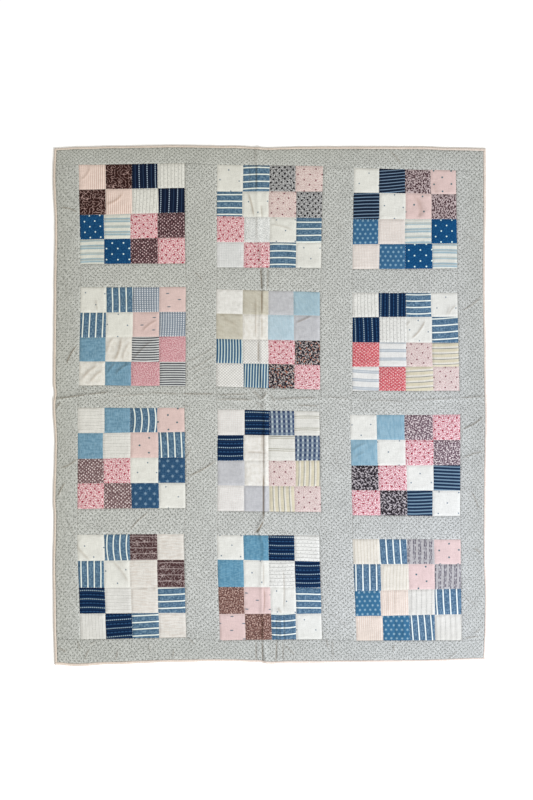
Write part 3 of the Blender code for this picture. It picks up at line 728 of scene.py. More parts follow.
@dataclass(frozen=True)
class BlockDesign:
    """What a block is pieced from, read from the upper left.

    Attributes:
        quarters: Upper left, upper right, lower left and lower right.
        odd: Patches that break the rule, by row and column from 0.
        lies: Patches whose cloth lies turned (degrees) or bowed (millimetres), in the same way.
    """

    quarters: tuple[FourPatch, FourPatch, FourPatch, FourPatch]
    odd: dict[tuple[int, int], str] = field(default_factory=dict)
    lies: dict[tuple[int, int], tuple[float, float]] = field(default_factory=dict)

    def cotton(self, row: int, column: int) -> str:
        """The cotton of a patch, row and column counted from the upper left."""
        quarter = self.quarters[2 * (row // 2) + column // 2]
        return self.odd.get((row, column), quarter.cotton(row % 2, column % 2))


DESIGNS = {
    (1, 1): BlockDesign((
        FourPatch("peach_rib", "brown_vine"), FourPatch("navy_dash", "dotted_line"),
        FourPatch("indigo_dot_deep", "sky_band/"), FourPatch("rose_calico", "brown_motif"))),
    (1, 2): BlockDesign((
        FourPatch("white_sprig", "denim_stripe/"), FourPatch("black_calico", "pink_dot"),
        FourPatch("rose_calico", "white_speck"), FourPatch("white_sprig", "denim_stripe/")),
        {(3, 0): "grey_check"}),
    (1, 3): BlockDesign((
        FourPatch("white_sprig", "navy_rib/"), FourPatch("maroon_vine", "pink_sprig"),
        FourPatch("star_blue", "peach_check"), FourPatch("sky_band/", "indigo_dot")),
        lies={(0, 1): (6.5, 0.5)}),
    (2, 1): BlockDesign((
        FourPatch("white_sprig", "denim_stripe"), FourPatch("grey_dash", "pink_dash"),
        FourPatch("chambray_teal", "plain_cream"), FourPatch("ticking/", "rose_vine"))),
    (2, 2): BlockDesign((
        FourPatch("plain_cream", "plain_khaki"), FourPatch("plain_lavender", "chambray_sky"),
        FourPatch("blue_pin", "diagonal_grid"), FourPatch("rose_calico", "leaf_black")),
        {(0, 0): "plain_white", (1, 2): "chambray_pale"}),
    (2, 3): BlockDesign((
        FourPatch("dotted_line", "blue_dash"), FourPatch("denim_stripe/", "white_sprig"),
        FourPatch("coral", "cloud_band/"), FourPatch("pink_dot", "straw_stripe/")),
        lies={(1, 3): (3.5, 0.6), (2, 3): (2.0, 0.6), (3, 2): (3.5, 0.6), (3, 0): (-3.5, 0.6)}),
    (3, 1): BlockDesign((
        FourPatch("faint_line/", "chambray_teal"), FourPatch("denim_stripe", "pink_sprig"),
        FourPatch("brown_motif_pale", "rose_calico"), FourPatch("white_sprig", "indigo_star")),
        lies={(0, 2): (0.0, -3.5)}),
    (3, 2): BlockDesign((
        FourPatch("pink_check", "blue_dash/"), FourPatch("gingham", "olive_line/"),
        FourPatch("plain_lavender", "plain_cream"), FourPatch("pink_dot", "straw_stripe")),
        {(1, 1): "plain_cream", (3, 0): "pink_check"}),
    (3, 3): BlockDesign((
        FourPatch("white_sprig", "chambray_light"), FourPatch("purple_speckle", "rose_calico"),
        FourPatch("paisley_black", "rose_calico"), FourPatch("white_sprig", "ocean_stripe/"))),
    (4, 1): BlockDesign((
        FourPatch("white_sprig", "denim_stripe"), FourPatch("brown_vine_pale/", "peach_line/"),
        FourPatch("blue_dash/", "faint_line"), FourPatch("peach_line/", "denim_stripe/")),
        {(2, 1): "faint_line/"}, {(0, 1): (0.0, 3.0)}),
    (4, 2): BlockDesign((
        FourPatch("white_sprig", "chambray_blue"), FourPatch("blue_dash/", "dotted_line/"),
        FourPatch("brown_speckle", "pink_dash"), FourPatch("white_sprig", "denim_stripe/")),
        lies={(3, 2): (2.0, 2.0)}),
    (4, 3): BlockDesign((
        FourPatch("cream_rib", "denim_stripe"), FourPatch("lilac_band", "pink_sprig"),
        FourPatch("star_blue_light", "peach_rib_pale"), FourPatch("grey_line", "denim_stripe"))),
}


@dataclass(frozen=True)
class Station:
    """A place along an edge or a main crease, in millimetres.

    Attributes:
        along: Where it is along the edge or crease.
        middle: How far out the edge lies, or where the crease's middle is.
        height: Height of the crease.
        half_width: Half its width.
    """

    along: float
    middle: float
    height: float = 0.0
    half_width: float = 0.0


TOP_EDGE = (
    Station(-540, 642.5), Station(-467, 645.5), Station(-372, 648.0),
    Station(-242, 650.0), Station(-97, 648.5), Station(2, 643.8),
    Station(80, 646.5), Station(370, 646.5), Station(470, 644.0), Station(540, 642.0),
)
BOTTOM_EDGE = (
    Station(-540, 648.0), Station(-485, 651.2), Station(-392, 646.5),
    Station(-242, 641.5), Station(-127, 638.8), Station(-35, 641.0),
    Station(-2, 646.0), Station(58, 643.5), Station(340, 641.2), Station(540, 635.5),
)
LEFT_EDGE = (
    Station(-645, 538.0), Station(-560, 541.0), Station(-414, 542.5),
    Station(-301, 540.0), Station(-264, 542.0), Station(-114, 537.5),
    Station(-20, 542.0), Station(8, 538.8), Station(35, 542.0), Station(261, 540.0),
    Station(436, 537.5), Station(561, 542.0), Station(645, 539.0),
)
RIGHT_EDGE = (
    Station(-645, 537.5), Station(-614, 539.0), Station(-564, 541.0),
    Station(-489, 542.5), Station(-376, 538.8), Station(-226, 540.0),
    Station(-51, 542.5), Station(124, 540.0), Station(336, 537.5),
    Station(511, 540.0), Station(645, 539.5),
)
CENTRE_CREASE = (
    Station(-650, -6, 3.0, 5.8), Station(-600, -14, 3.0, 5.8),
    Station(-546, -16, 2.6, 5.8), Station(-440, -18, 2.4, 6.4),
    Station(-357, -12, 2.6, 5.8), Station(-312, -24, 3.8, 5.8),
    Station(-270, -11, 3.0, 5.2), Station(-110, -9, 3.1, 5.2),
    Station(-30, -11, 3.2, 5.8), Station(14, -10, 4.4, 7.5),
    Station(90, -18, 2.4, 5.8), Station(190, -20, 2.4, 5.8),
    Station(262, -16, 3.0, 5.8), Station(315, -10, 3.6, 5.8),
    Station(400, -24, 2.0, 6.4), Station(560, -30, 2.0, 5.8),
    Station(650, -25, 2.4, 5.8),
)
CROSS_CREASE = (
    Station(-545, 12, 1.4, 5.2), Station(-452, 24, 1.9, 4.6),
    Station(-402, 28, 1.9, 4.6), Station(-290, 22, 1.2, 5.2),
    Station(-172, 19, 1.8, 5.2), Station(-60, 12, 2.2, 5.8),
    Station(40, 10, 1.8, 5.8), Station(178, 16, 0.9, 5.2),
    Station(360, 8, 0.7, 5.2), Station(545, 18, 1.0, 5.2),
)


@dataclass(frozen=True)
class Shifts:
    """How far a block's inner seams stray from even places, in millimetres.

    Attributes:
        upright: Shifts to the right of the upright seams in each row of patches, the top row first.
        level: Shifts up of the level seams at their left and right end, the top seam first.
    """

    upright: tuple[tuple[float, float, float], ...]
    level: tuple[tuple[float, float], ...]


SEAM_SHIFTS = {
    (1, 1): Shifts(((0.8, 0.5, -1.2), (0.3, 0.5, 0.0), (-4.8, -4.5, -2.8), (-5.2, -4.0, -2.8)),
                   ((-0.3, 1.0), (-2.0, 2.0), (-1.2, 2.0))),
    (1, 2): Shifts(((-1.0, -1.0, -2.0), (-2.0, -2.0, 0.5), (2.6, 1.7, 1.5), (2.0, 1.7, 2.1)),
                   ((-2.5, 0.0), (0.0, -2.2), (-0.5, -0.5))),
    (1, 3): Shifts(((-1.0, 0.5, 0.5), (0.9, 1.7, 2.1), (-1.7, 0.0, 1.2), (1.9, 1.2, 3.6)),
                   ((2.0, 1.8), (-1.5, 1.2), (-1.5, 1.5))),
    (2, 1): Shifts(((-1.8, -0.7, -0.6), (-0.7, 0.0, -0.2), (-1.0, -2.0, 0.0), (-1.7, -3.0, 1.7)),
                   ((-2.5, 0.0), (-3.7, 0.5), (-2.0, -1.7))),
    (2, 2): Shifts(((1.5, 1.5, -1.0), (1.5, 0.0, 0.0), (1.0, 0.7, 1.6), (3.5, 1.5, 1.0)),
                   ((0.0, 1.5), (-2.5, 0.5), (-1.7, 0.5))),
    (2, 3): Shifts(((0.0, 2.5, -0.7), (2.0, 3.7, 0.6), (1.0, 2.0, 0.5), (0.0, 0.0, 2.0)),
                   ((0.5, 1.7), (-0.7, -2.5), (-1.0, -0.7))),
    (3, 1): Shifts(((0.0, -3.0, -1.2), (-3.5, -2.0, 0.5), (-2.0, -2.0, 0.0), (-1.3, 0.0, 1.5)),
                   ((-0.5, 2.3), (-1.0, 1.7), (0.5, 0.5))),
    (3, 2): Shifts(((4.0, 3.0, 1.0), (1.6, -0.7, 1.5), (4.0, 0.0, 2.6), (2.0, 0.0, -1.0)),
                   ((-0.7, 2.5), (-1.5, 3.2), (0.0, 1.5))),
    (3, 3): Shifts(((-2.5, -1.7, 0.0), (-2.0, 0.0, 1.6), (-0.6, 2.2, 1.1), (2.5, 2.5, -1.5)),
                   ((0.7, 0.0), (-1.0, 0.5), (0.0, 0.0))),
    (4, 1): Shifts(((1.0, -1.7, 0.0), (-2.0, -3.7, -1.8), (-1.0, -2.0, -1.8), (-2.0, -2.0, -1.0)),
                   ((0.0, 0.0), (-1.5, -4.5), (-1.2, -3.2))),
    (4, 2): Shifts(((2.5, 0.5, 1.0), (1.0, 0.0, 0.5), (0.0, 2.0, 0.8), (0.5, 2.5, -1.0)),
                   ((4.2, 0.0), (1.5, -0.7), (0.0, -0.5))),
    (4, 3): Shifts(((-1.0, 0.7, 1.0), (0.5, 3.7, 1.0), (-2.0, 0.7, 0.0), (1.7, 2.7, -1.0)),
                   ((0.8, 1.2), (-3.2, 2.5), (-2.5, 1.8))),
}


def eased(stations: tuple[Station, ...], along: np.ndarray, name: str) -> np.ndarray:
    """One value of a table of stations, eased between them, in metres.

    Args:
        stations: The table.
        along: Places along it, in metres.
        name: The value's name.

    Returns:
        The value at each place.
    """
    places = np.array([station.along for station in stations]) * MM
    values = np.array([getattr(station, name) for station in stations]) * MM
    inside = np.clip(along, places[0], places[-1])
    after = np.clip(np.searchsorted(places, inside), 1, len(places) - 1)
    share = (inside - places[after - 1]) / (places[after] - places[after - 1])
    ease = share * share * (3 - 2 * share)
    return values[after - 1] + (values[after] - values[after - 1]) * ease


@dataclass(frozen=True)
class Wrinkle:
    """A small crease, from a start to an end, in millimetres.

    Attributes:
        start: Where it starts.
        end: Where it ends.
        height: Height of its ridge, or depth where below nought.
        half_width: Half its width.
        bow: How far its middle bends aside.
        stain: How brown its line is: partly real age staining, partly painted crease shade.
    """

    start: tuple[float, float]
    end: tuple[float, float]
    height: float
    half_width: float
    bow: float = 0.0
    stain: float = 0.0

    END_SHARE = 0.22
    END_LEVEL = 0.15

    def profile(self, x: np.ndarray, y: np.ndarray, narrow: float = 1.0) -> np.ndarray:
        """How much of the wrinkle is at each place, 0 to 1, its width narrowed by a share."""
        start, end = np.array(self.start) * MM, np.array(self.end) * MM
        way = end - start
        length = float(np.hypot(*way))
        way = way / length
        ahead = ((x - start[0]) * way[0] + (y - start[1]) * way[1]) / length
        aside = (y - start[1]) * way[0] - (x - start[0]) * way[1]
        inside = np.clip(ahead, 0.0, 1.0)
        aside = aside - self.bow * MM * 4 * inside * (1 - inside)
        beyond = np.where(ahead < 0, -ahead, np.where(ahead > 1, ahead - 1, 0.0)) * length
        ramp = np.clip(np.minimum(inside, 1 - inside) / self.END_SHARE + self.END_LEVEL, 0.0, 1.0)
        width = self.half_width * narrow * MM
        return np.exp(-((aside / width) ** 2)) * ramp * np.exp(-((beyond / width) ** 2))


WRINKLES = (
    # Down the middle, from the top border to the bottom one
    Wrinkle((-33, 650), (-33, 600), 0.7, 2.7, stain=0.11),
    Wrinkle((-32, 602), (-32, 536), -1.1, 2.3, stain=0.54),
    Wrinkle((-49, 596), (-49, 540), -0.5, 2.3, stain=0.22),
    Wrinkle((-52, 528), (-38, 468), 0.8, 3.3, 2, 0.40),
    Wrinkle((-20, 500), (-17, 466), -0.7, 2.3, stain=0.32),
    Wrinkle((-30, 470), (-30, 410), 0.7, 2.7, stain=0.09),
    Wrinkle((-20, 400), (-24, 345), 0.7, 2.7, stain=0.18),
    Wrinkle((-21, 345), (-18, 285), -1.2, 2.3, stain=0.61),
    Wrinkle((-3, 342), (-4, 286), -1.0, 2.3, stain=0.43),
    Wrinkle((-18, 286), (-18, 226), -1.4, 2.3, stain=0.72),
    Wrinkle((-33, 270), (-33, 165), 0.7, 2.3, stain=0.29),
    Wrinkle((-18, 224), (-18, 165), -0.7, 2.3, stain=0.36),
    Wrinkle((-27, 160), (-27, 104), -0.7, 2.3, stain=0.47),
    Wrinkle((-22, 98), (-18, 44), 0.7, 2.7, stain=0.18),
    Wrinkle((-40, 34), (-20, 12), 1.6, 2.7, 2, 0.32),
    Wrinkle((-20, 12), (-6, 32), 1.6, 2.7, -2, 0.29),
    Wrinkle((-34, 6), (-14, -10), 1.4, 2.7, 2, 0.25),
    Wrinkle((2, 26), (14, 4), 1.1, 2.7, 2, 0.22),
    Wrinkle((-14, -8), (-14, -180), -0.8, 2.3, stain=0.43),
    Wrinkle((-17, -60), (-17, -118), -0.5, 4.4, stain=0.25),
    Wrinkle((-60, -120), (-4, -122), -0.7, 2.7, 2, 0.29),
    Wrinkle((-14, -170), (-14, -292), -1.4, 2.7, stain=0.72),
    Wrinkle((-14, -290), (-34, -320), -1.4, 2.7, 2, 0.68),
    Wrinkle((-14, -392), (-14, -456), -0.7, 2.7, stain=0.29),
    Wrinkle((35, -412), (36, -514), -0.7, 2.7, 2, 0.25),
    Wrinkle((-13, -456), (-14, -524), -0.8, 2.7, 2, 0.40),
    Wrinkle((22, -508), (32, -522), 0.7, 4.4, 0, 0.25),
    Wrinkle((-18, -522), (-18, -592), -1.4, 3.3, 1, 0.58),
    Wrinkle((27, -524), (29, -592), 1.5, 3.3, 2, 0.11),
    Wrinkle((18, -524), (18, -592), -0.8, 2.3, 0, 0.32),
    Wrinkle((37, -524), (38, -592), -0.8, 2.3, 0, 0.32),
    Wrinkle((-33, -590), (-32, -642), -1.0, 2.3, 0, 0.40),
    Wrinkle((-17, -590), (-16, -644), -1.1, 2.3, 0, 0.47),
    Wrinkle((19, -590), (17, -644), -1.1, 2.3, 0, 0.47),
    Wrinkle((34, -590), (35, -642), -0.8, 2.3, 0, 0.32),
    Wrinkle((40, -600), (66, -627), 0.8, 2.7, 0, 0.25),
    # Across the middle, left to right
    Wrinkle((-534, 14), (-452, 25), 0.9, 2.0, 0, 0.47),
    Wrinkle((-452, 25), (-400, 31), 0.9, 2.0, 0, 0.40),
    Wrinkle((-470, 42), (-452, 36), 0.8, 2.0, 0, 0.29),
    Wrinkle((-396, 20), (-300, 26), 0.7, 2.0, 0, 0.25),
    Wrinkle((-300, 30), (-222, 26), 0.7, 2.0, 0, 0.29),
    Wrinkle((-222, 27), (-130, 26), 0.9, 2.0, 0, 0.43),
    Wrinkle((-130, 24), (-50, 26), 0.9, 2.0, 0, 0.40),
    Wrinkle((-132, 12), (-40, 10), 0.9, 2.0, 2, 0.40),
    Wrinkle((-216, -4), (-196, -6), 0.7, 2.0, 0, 0.22),
    Wrinkle((12, 12), (120, 16), 0.8, 2.0, 2, 0.32),
    Wrinkle((70, -2), (124, -4), 0.9, 2.0, 0, 0.36),
    Wrinkle((140, 20), (205, 12), 0.7, 2.0, 0, 0.18),
    Wrinkle((230, 10), (350, 4), 0.7, 2.0, 2, 0.18),
    Wrinkle((360, 8), (470, 14), 0.7, 2.0, 2, 0.18),
    Wrinkle((478, 16), (538, 20), 0.9, 2.0, 0, 0.29),
    # Left border and its neighbours
    Wrinkle((-522, 491), (-478, 478), 0.7, 2.3, 5, 0.45),
    Wrinkle((-480, 147), (-506, 100), 1.0, 2.7, -3, 0.50),
    Wrinkle((-522, -159), (-478, -134), 0.8, 2.7, -4, 0.40),
    Wrinkle((-526, -232), (-508, -195), 0.8, 2.7, 3, 0.40),
    Wrinkle((-532, -9), (-520, 6), 0.8, 2.3, 0, 0.45),
    Wrinkle((-530, -609), (-505, -619), 0.9, 2.7, 2, 0.35),
    Wrinkle((-472, -612), (-478, -590), 0.7, 2.3, 0, 0.30),
    Wrinkle((-458, -636), (-448, -611), 0.8, 2.7, 2, 0.30),
    Wrinkle((-450, -600), (-432, -592), 0.6, 2.3, 0, 0.20),
    Wrinkle((-382, -636), (-378, -615), 0.8, 2.7, 0, 0.30),
    Wrinkle((-300, -600), (-296, -618), 0.6, 2.7, 0, 0.15),
    Wrinkle((-240, -632), (-238, -612), 0.8, 2.3, 0, 0.30),
    Wrinkle((142, -584), (148, -609), 0.8, 2.3, 1, 0.30),
    Wrinkle((158, -589), (160, -634), 0.7, 2.3, 0, 0.25),
    Wrinkle((448, -634), (468, -619), 0.7, 2.3, 0, 0.20),
    Wrinkle((-500, -300), (-482, -340), 0.7, 3.3, 2, 0.10),
    Wrinkle((-515, 320), (-500, 250), 0.5, 4.4, 3, 0.05),
    # Long sashes and short ones
    Wrinkle((-186, 331), (-166, 306), 0.7, 2.7, 2, 0.25),
    Wrinkle((-202, 136), (-172, 154), 0.6, 2.3, 2, 0.16),
    Wrinkle((-202, 106), (-135, 144), 0.7, 2.3, -2, 0.20),
    Wrinkle((-198, 86), (-130, 126), 0.7, 2.3, -2, 0.20),
    Wrinkle((-192, 74), (-135, 101), 0.6, 2.3, 2, 0.18),
    Wrinkle((-190, 60), (-150, 78), 0.5, 2.3, 2, 0.12),
    Wrinkle((-205, -134), (-192, -109), 0.8, 2.7, 2, 0.25),
    Wrinkle((-202, -584), (-188, -599), 0.8, 2.3, 2, 0.30),
    Wrinkle((-204, -180), (-132, -140), 1.0, 2.7, -3, 0.40),
    Wrinkle((-348, -316), (-300, -270), 0.8, 2.7, 4, 0.35),
    Wrinkle((-190, -420), (-150, -480), 0.5, 4.4, 4, 0.05),
    Wrinkle((150, 480), (190, 430), 0.5, 4.4, 3, 0.05),
    Wrinkle((160, -120), (196, -180), 0.5, 4.4, -3, 0.05),
    Wrinkle((150, -520), (200, -560), 0.6, 4.4, 3, 0.08),
    # Right border
    Wrinkle((303, 632), (331, 598), 0.7, 2.3, 2, 0.35),
    Wrinkle((482, 234), (531, 270), 0.8, 2.7, -3, 0.30),
    Wrinkle((480, -62), (536, -30), 0.9, 2.7, -4, 0.40),
    Wrinkle((484, -135), (536, -118), 0.7, 2.7, 3, 0.30),
    Wrinkle((505, -218), (524, -265), 0.7, 2.7, 3, 0.30),
    Wrinkle((512, -360), (530, -374), 1.0, 2.7, 2, 0.35),
    Wrinkle((490, 420), (528, 400), 0.6, 3.3, 2, 0.10),
    Wrinkle((488, -586), (527, -580), 0.8, 2.7, 2, 0.25),
    Wrinkle((514, -572), (529, -560), 0.7, 2.7, 0, 0.20),
    Wrinkle((486, -480), (526, -510), 0.6, 3.3, 2, 0.10),
    # In the patches
    Wrinkle((-470, 560), (-446, 592), 0.7, 3.2, -3, 0.18),
    Wrinkle((-408, 500), (-364, 530), 0.7, 4.0, -6, 0.29),
    Wrinkle((-432, 262), (-429, 234), 0.6, 4.0, 0, 0.18),
    Wrinkle((-406, 128), (-390, 168), 0.6, 4.3, 2, 0.18),
    Wrinkle((-387, 108), (-370, 168), 0.9, 5.0, -4, 0.32),
    Wrinkle((-366, 112), (-350, 152), 0.7, 4.3, 3, 0.18),
    Wrinkle((-341, 110), (-291, 160), 0.7, 3.2, 3, 0.25),
    Wrinkle((-468, 62), (-428, 98), 0.9, 5.0, 4, 0.25),
    Wrinkle((-450, 54), (-414, 88), 0.9, 5.0, 2, 0.25),
    Wrinkle((-402, 80), (-384, 102), 0.9, 3.6, 2, 0.22),
    Wrinkle((-384, 74), (-348, 102), 1.0, 4.3, 4, 0.25),
    Wrinkle((-316, 183), (-279, 211), 0.8, 3.2, 3, 0.25),
    Wrinkle((412, 560), (420, 528), -1.0, 8.0, -3, 0.12),
    Wrinkle((362, 522), (374, 466), -1.2, 8.0, 10, 0.19),
    Wrinkle((374, 520), (392, 470), 0.8, 8.0, 9, 0.00),
    Wrinkle((443, 222), (452, 246), 0.6, 3.2, 0, 0.14),
    Wrinkle((447, 222), (467, 248), 0.7, 3.2, 2, 0.22),
    Wrinkle((355, 164), (390, 210), 0.8, 3.2, -4, 0.36),
    Wrinkle((343, 196), (352, 208), 0.6, 3.2, 0, 0.18),
    Wrinkle((208, -116), (245, -96), 0.7, 4.0, 3, 0.18),
    Wrinkle((214, -134), (240, -120), 0.6, 3.2, 2, 0.11),
    Wrinkle((-346, -8), (-342, -72), -0.7, 3.2, 3, 0.18),
    Wrinkle((-271, -72), (-244, -101), 0.7, 3.2, 3, 0.22),
    Wrinkle((68, 204), (106, 221), 0.8, 2.8, 0, 0.36),
    Wrinkle((-118, 226), (-100, 206), 0.7, 3.2, 0, 0.14),
    Wrinkle((-112, 214), (-74, 190), 0.6, 3.2, 3, 0.14),
    Wrinkle((-482, -350), (-446, -390), 0.9, 4.3, -2, 0.22),
    Wrinkle((-476, -336), (-452, -352), 0.5, 5.0, 2, 0.00),
    Wrinkle((-390, -392), (-350, -446), 0.9, 4.3, 3, 0.20),
    Wrinkle((-376, -392), (-352, -420), 0.6, 4.3, 2, 0.07),
    Wrinkle((312, -528), (314, -588), -0.7, 3.2, 2, 0.14),
    Wrinkle((334, -530), (336, -588), 0.8, 4.0, 2, 0.07),
    Wrinkle((296, -462), (298, -524), 0.6, 4.0, 2, 0.07),
    Wrinkle((318, -460), (318, -526), 0.6, 3.2, -2, 0.11),
    Wrinkle((312, -600), (311, -616), 0.8, 3.2, 0, 0.29),
    Wrinkle((4, 448), (60, 434), 0.7, 3.2, 4, 0.18),
    Wrinkle((10, 470), (22, 450), 0.7, 2.8, 0, 0.18),
    Wrinkle((56, 268), (70, 240), 0.5, 3.2, 2, 0.07),
)


@dataclass
class SoftNoise:
    """Smooth noise on the cloth, the same each run.

    Attributes:
        seed: Seed of its random values.
    """

    seed: int
    SIZE = 128

    def __post_init__(self) -> None:
        """Draws the random values."""
        self.values = np.random.default_rng(self.seed).uniform(-1, 1, (self.SIZE, self.SIZE))

    def at(self, x: np.ndarray, y: np.ndarray, wave: float) -> np.ndarray:
        """Noise from -1 to 1 whose features have a size in millimetres."""
        across, up = x / (wave * MM), y / (wave * MM)
        column, row = np.floor(across).astype(int), np.floor(up).astype(int)
        s, t = across - column, up - row
        s, t = s * s * (3 - 2 * s), t * t * (3 - 2 * t)
        value = self.values
        size = self.SIZE
        low = value[column % size, row % size] * (1 - s) + value[(column + 1) % size, row % size] * s
        high = value[column % size, (row + 1) % size] * (1 - s)
        high = high + value[(column + 1) % size, (row + 1) % size] * s
        return low * (1 - t) + high * t


@dataclass
class CuttingPlan:
    """The regular plan that the quilt was cut to, and where its seams really lie.

    Attributes:
        patch_width: Width of a finished patch, in metres, as all sizes here.
        patch_height: Height of a finished patch.
        long_sash: Width of a long sash.
        short_sash: Height of a short sash.
        width: Width of the quilt.
        length: Length of the quilt.
        binding: Width of the binding on the face.
    """

    patch_width: float = 0.0655
    patch_height: float = 0.0630
    long_sash: float = 0.0785
    short_sash: float = 0.0590
    width: float = 1.0850
    length: float = 1.3025
    binding: float = 0.0062

    COLUMNS = 3
    ROWS = 4
    PATCHES = 4
    WANDER = ((70.0, 0.4), (24.0, 0.35))
    SEAM_BLEND = 0.0016
    PRINT_DEPTH = 0.20
    DEPTH_REACH = 0.0060

    def __post_init__(self) -> None:
        """Works out the plan's lines and reads the blocks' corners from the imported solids."""
        self.block_width = self.PATCHES * self.patch_width
        self.block_height = self.PATCHES * self.patch_height
        pieced_width = self.COLUMNS * self.block_width + (self.COLUMNS - 1) * self.long_sash
        pieced_length = self.ROWS * self.block_height + (self.ROWS - 1) * self.short_sash
        self.lefts = [
            -pieced_width / 2 + c * (self.block_width + self.long_sash) for c in range(self.COLUMNS)
        ]
        self.tops = [
            pieced_length / 2 - r * (self.block_height + self.short_sash) for r in range(self.ROWS)
        ]
        self.sides_across = np.array([x + w for x in self.lefts for w in (0.0, self.block_width)])
        self.sides_up = np.array(
            [y - h for y in reversed(self.tops) for h in (self.block_height, 0.0)]
        )
        self.corners = self.read_corners()
        self.noise = SoftNoise(11)

    def read_corners(self) -> np.ndarray:
        """Real place of each block corner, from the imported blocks."""
        corners = np.zeros((len(self.sides_across), len(self.sides_up), 2))
        for row in range(self.ROWS):
            for column in range(self.COLUMNS):
                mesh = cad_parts[f"block_r{row + 1}c{column + 1}"].data
                points = np.array([vertex.co[:2] for vertex in mesh.vertices])
                for right in (0, 1):
                    for top in (0, 1):
                        reach = points @ np.array([2 * right - 1, 2 * top - 1])
                        place = points[int(np.argmax(reach))]
                        corners[2 * column + right, 2 * (self.ROWS - 1 - row) + top] = place
        return corners

    @property
    def seam_across(self) -> float:
        """Distance of the binding's seam from the middle, across."""
        return self.width / 2 - self.binding

    @property
    def seam_up(self) -> float:
        """Distance of the binding's seam from the middle, up."""
        return self.length / 2 - self.binding

    def patch_seams_across(self, column: int) -> Lines:
        """The seams across one column of blocks."""
        return [self.lefts[column] + k * self.patch_width for k in range(self.PATCHES + 1)]

    def patch_seams_up(self, row: int) -> Lines:
        """The seams up one row of blocks, lowest first."""
        return [self.tops[row] - k * self.patch_height for k in range(self.PATCHES, -1, -1)]

    def strayed(self, across: np.ndarray, up: np.ndarray) -> tuple[np.ndarray, np.ndarray]:
        """Plan points moved to where the uneven sewing puts them, still on the plan.

        Args:
            across: Plan places across.
            up: Plan places up.

        Returns:
            The moved places.
        """
        moved_across, moved_up = across.copy(), up.copy()
        ends = np.arange(self.PATCHES + 1)
        for (row, column), shifts in SEAM_SHIFTS.items():
            s = (across - self.lefts[column - 1]) / self.patch_width
            t = (self.tops[row - 1] - up) / self.patch_height
            inside = (s > 0) & (s < self.PATCHES) & (t > 0) & (t < self.PATCHES)
            if not inside.any():
                continue
            s, t = s[inside], t[inside]
            each = np.arange(len(s))
            rows = np.stack([np.interp(s, ends, (0.0, *shift, 0.0)) for shift in shifts.upright])
            seam = np.clip(np.rint(t), 1, self.PATCHES - 1).astype(int)
            share = np.clip((t - seam) * self.patch_height / self.SEAM_BLEND / 2 + 0.5, 0.0, 1.0)
            ease = share * share * (3 - 2 * share)
            aside = rows[seam - 1, each] * (1 - ease) + rows[seam, each] * ease
            levels = [left + (right - left) * s / self.PATCHES for left, right in shifts.level]
            levels = np.stack([np.zeros_like(s), *levels, np.zeros_like(s)])
            above = np.floor(t).astype(int)
            raised = levels[above, each] * (1 - t + above) + levels[above + 1, each] * (t - above)
            moved_across[inside] += aside * MM
            moved_up[inside] += raised * MM
        return moved_across, moved_up

    def seam_depth(self, across: np.ndarray, up: np.ndarray) -> np.ndarray:
        """How deep seams lie at plan places: full round the blocks and at the binding."""
        lefts, tops = np.array(self.lefts), np.array(self.tops)
        middles, centres = lefts + self.block_width / 2, tops - self.block_height / 2
        aside = np.min([np.abs(across - middle) for middle in middles], axis=0) - self.block_width / 2
        above = np.min([np.abs(up - centre) for centre in centres], axis=0) - self.block_height / 2
        inward = np.minimum(self.seam_across - np.abs(across), self.seam_up - np.abs(up))
        away = np.minimum(np.maximum(aside, above), inward)
        return 1 - (1 - self.PRINT_DEPTH) * np.clip(away / self.DEPTH_REACH, 0.0, 1.0)

    def place(self, across: np.ndarray, up: np.ndarray) -> tuple[np.ndarray, np.ndarray]:
        """Where points of the plan lie on the real quilt.

        Args:
            across: Plan places across.
            up: Plan places up.

        Returns:
            The real x and y.
        """
        across, up = self.strayed(across, up)
        inner_across = np.clip(across, self.sides_across[0], self.sides_across[-1])
        inner_up = np.clip(up, self.sides_up[0], self.sides_up[-1])
        i = np.clip(np.searchsorted(self.sides_across, inner_across) - 1, 0, len(self.sides_across) - 2)
        j = np.clip(np.searchsorted(self.sides_up, inner_up) - 1, 0, len(self.sides_up) - 2)
        s = (inner_across - self.sides_across[i]) / (self.sides_across[i + 1] - self.sides_across[i])
        t = (inner_up - self.sides_up[j]) / (self.sides_up[j + 1] - self.sides_up[j])
        s, t = s[..., None], t[..., None]
        low = self.corners[i, j] * (1 - s) + self.corners[i + 1, j] * s
        high = self.corners[i, j + 1] * (1 - s) + self.corners[i + 1, j + 1] * s
        real = low * (1 - t) + high * t
        x, y = real[..., 0], real[..., 1]
        half_width, half_length = self.width / 2, self.length / 2
        share = (inner_across - across) / (half_width + self.sides_across[0])
        x = np.where(share > 0, x + share * (-eased(LEFT_EDGE, up, "middle") - x), x)
        share = (across - inner_across) / (half_width - self.sides_across[-1])
        x = np.where(share > 0, x + share * (eased(RIGHT_EDGE, up, "middle") - x), x)
        share = (inner_up - up) / (half_length + self.sides_up[0])
        y = np.where(share > 0, y + share * (-eased(BOTTOM_EDGE, across, "middle") - y), y)
        share = (up - inner_up) / (half_length - self.sides_up[-1])
        y = np.where(share > 0, y + share * (eased(TOP_EDGE, across, "middle") - y), y)
        for wave, reach in self.WANDER:
            x = x + reach * MM * self.noise.at(across, up, wave)
            y = y + reach * MM * self.noise.at(across + 3.0, up + 5.0, wave)
        return x, y


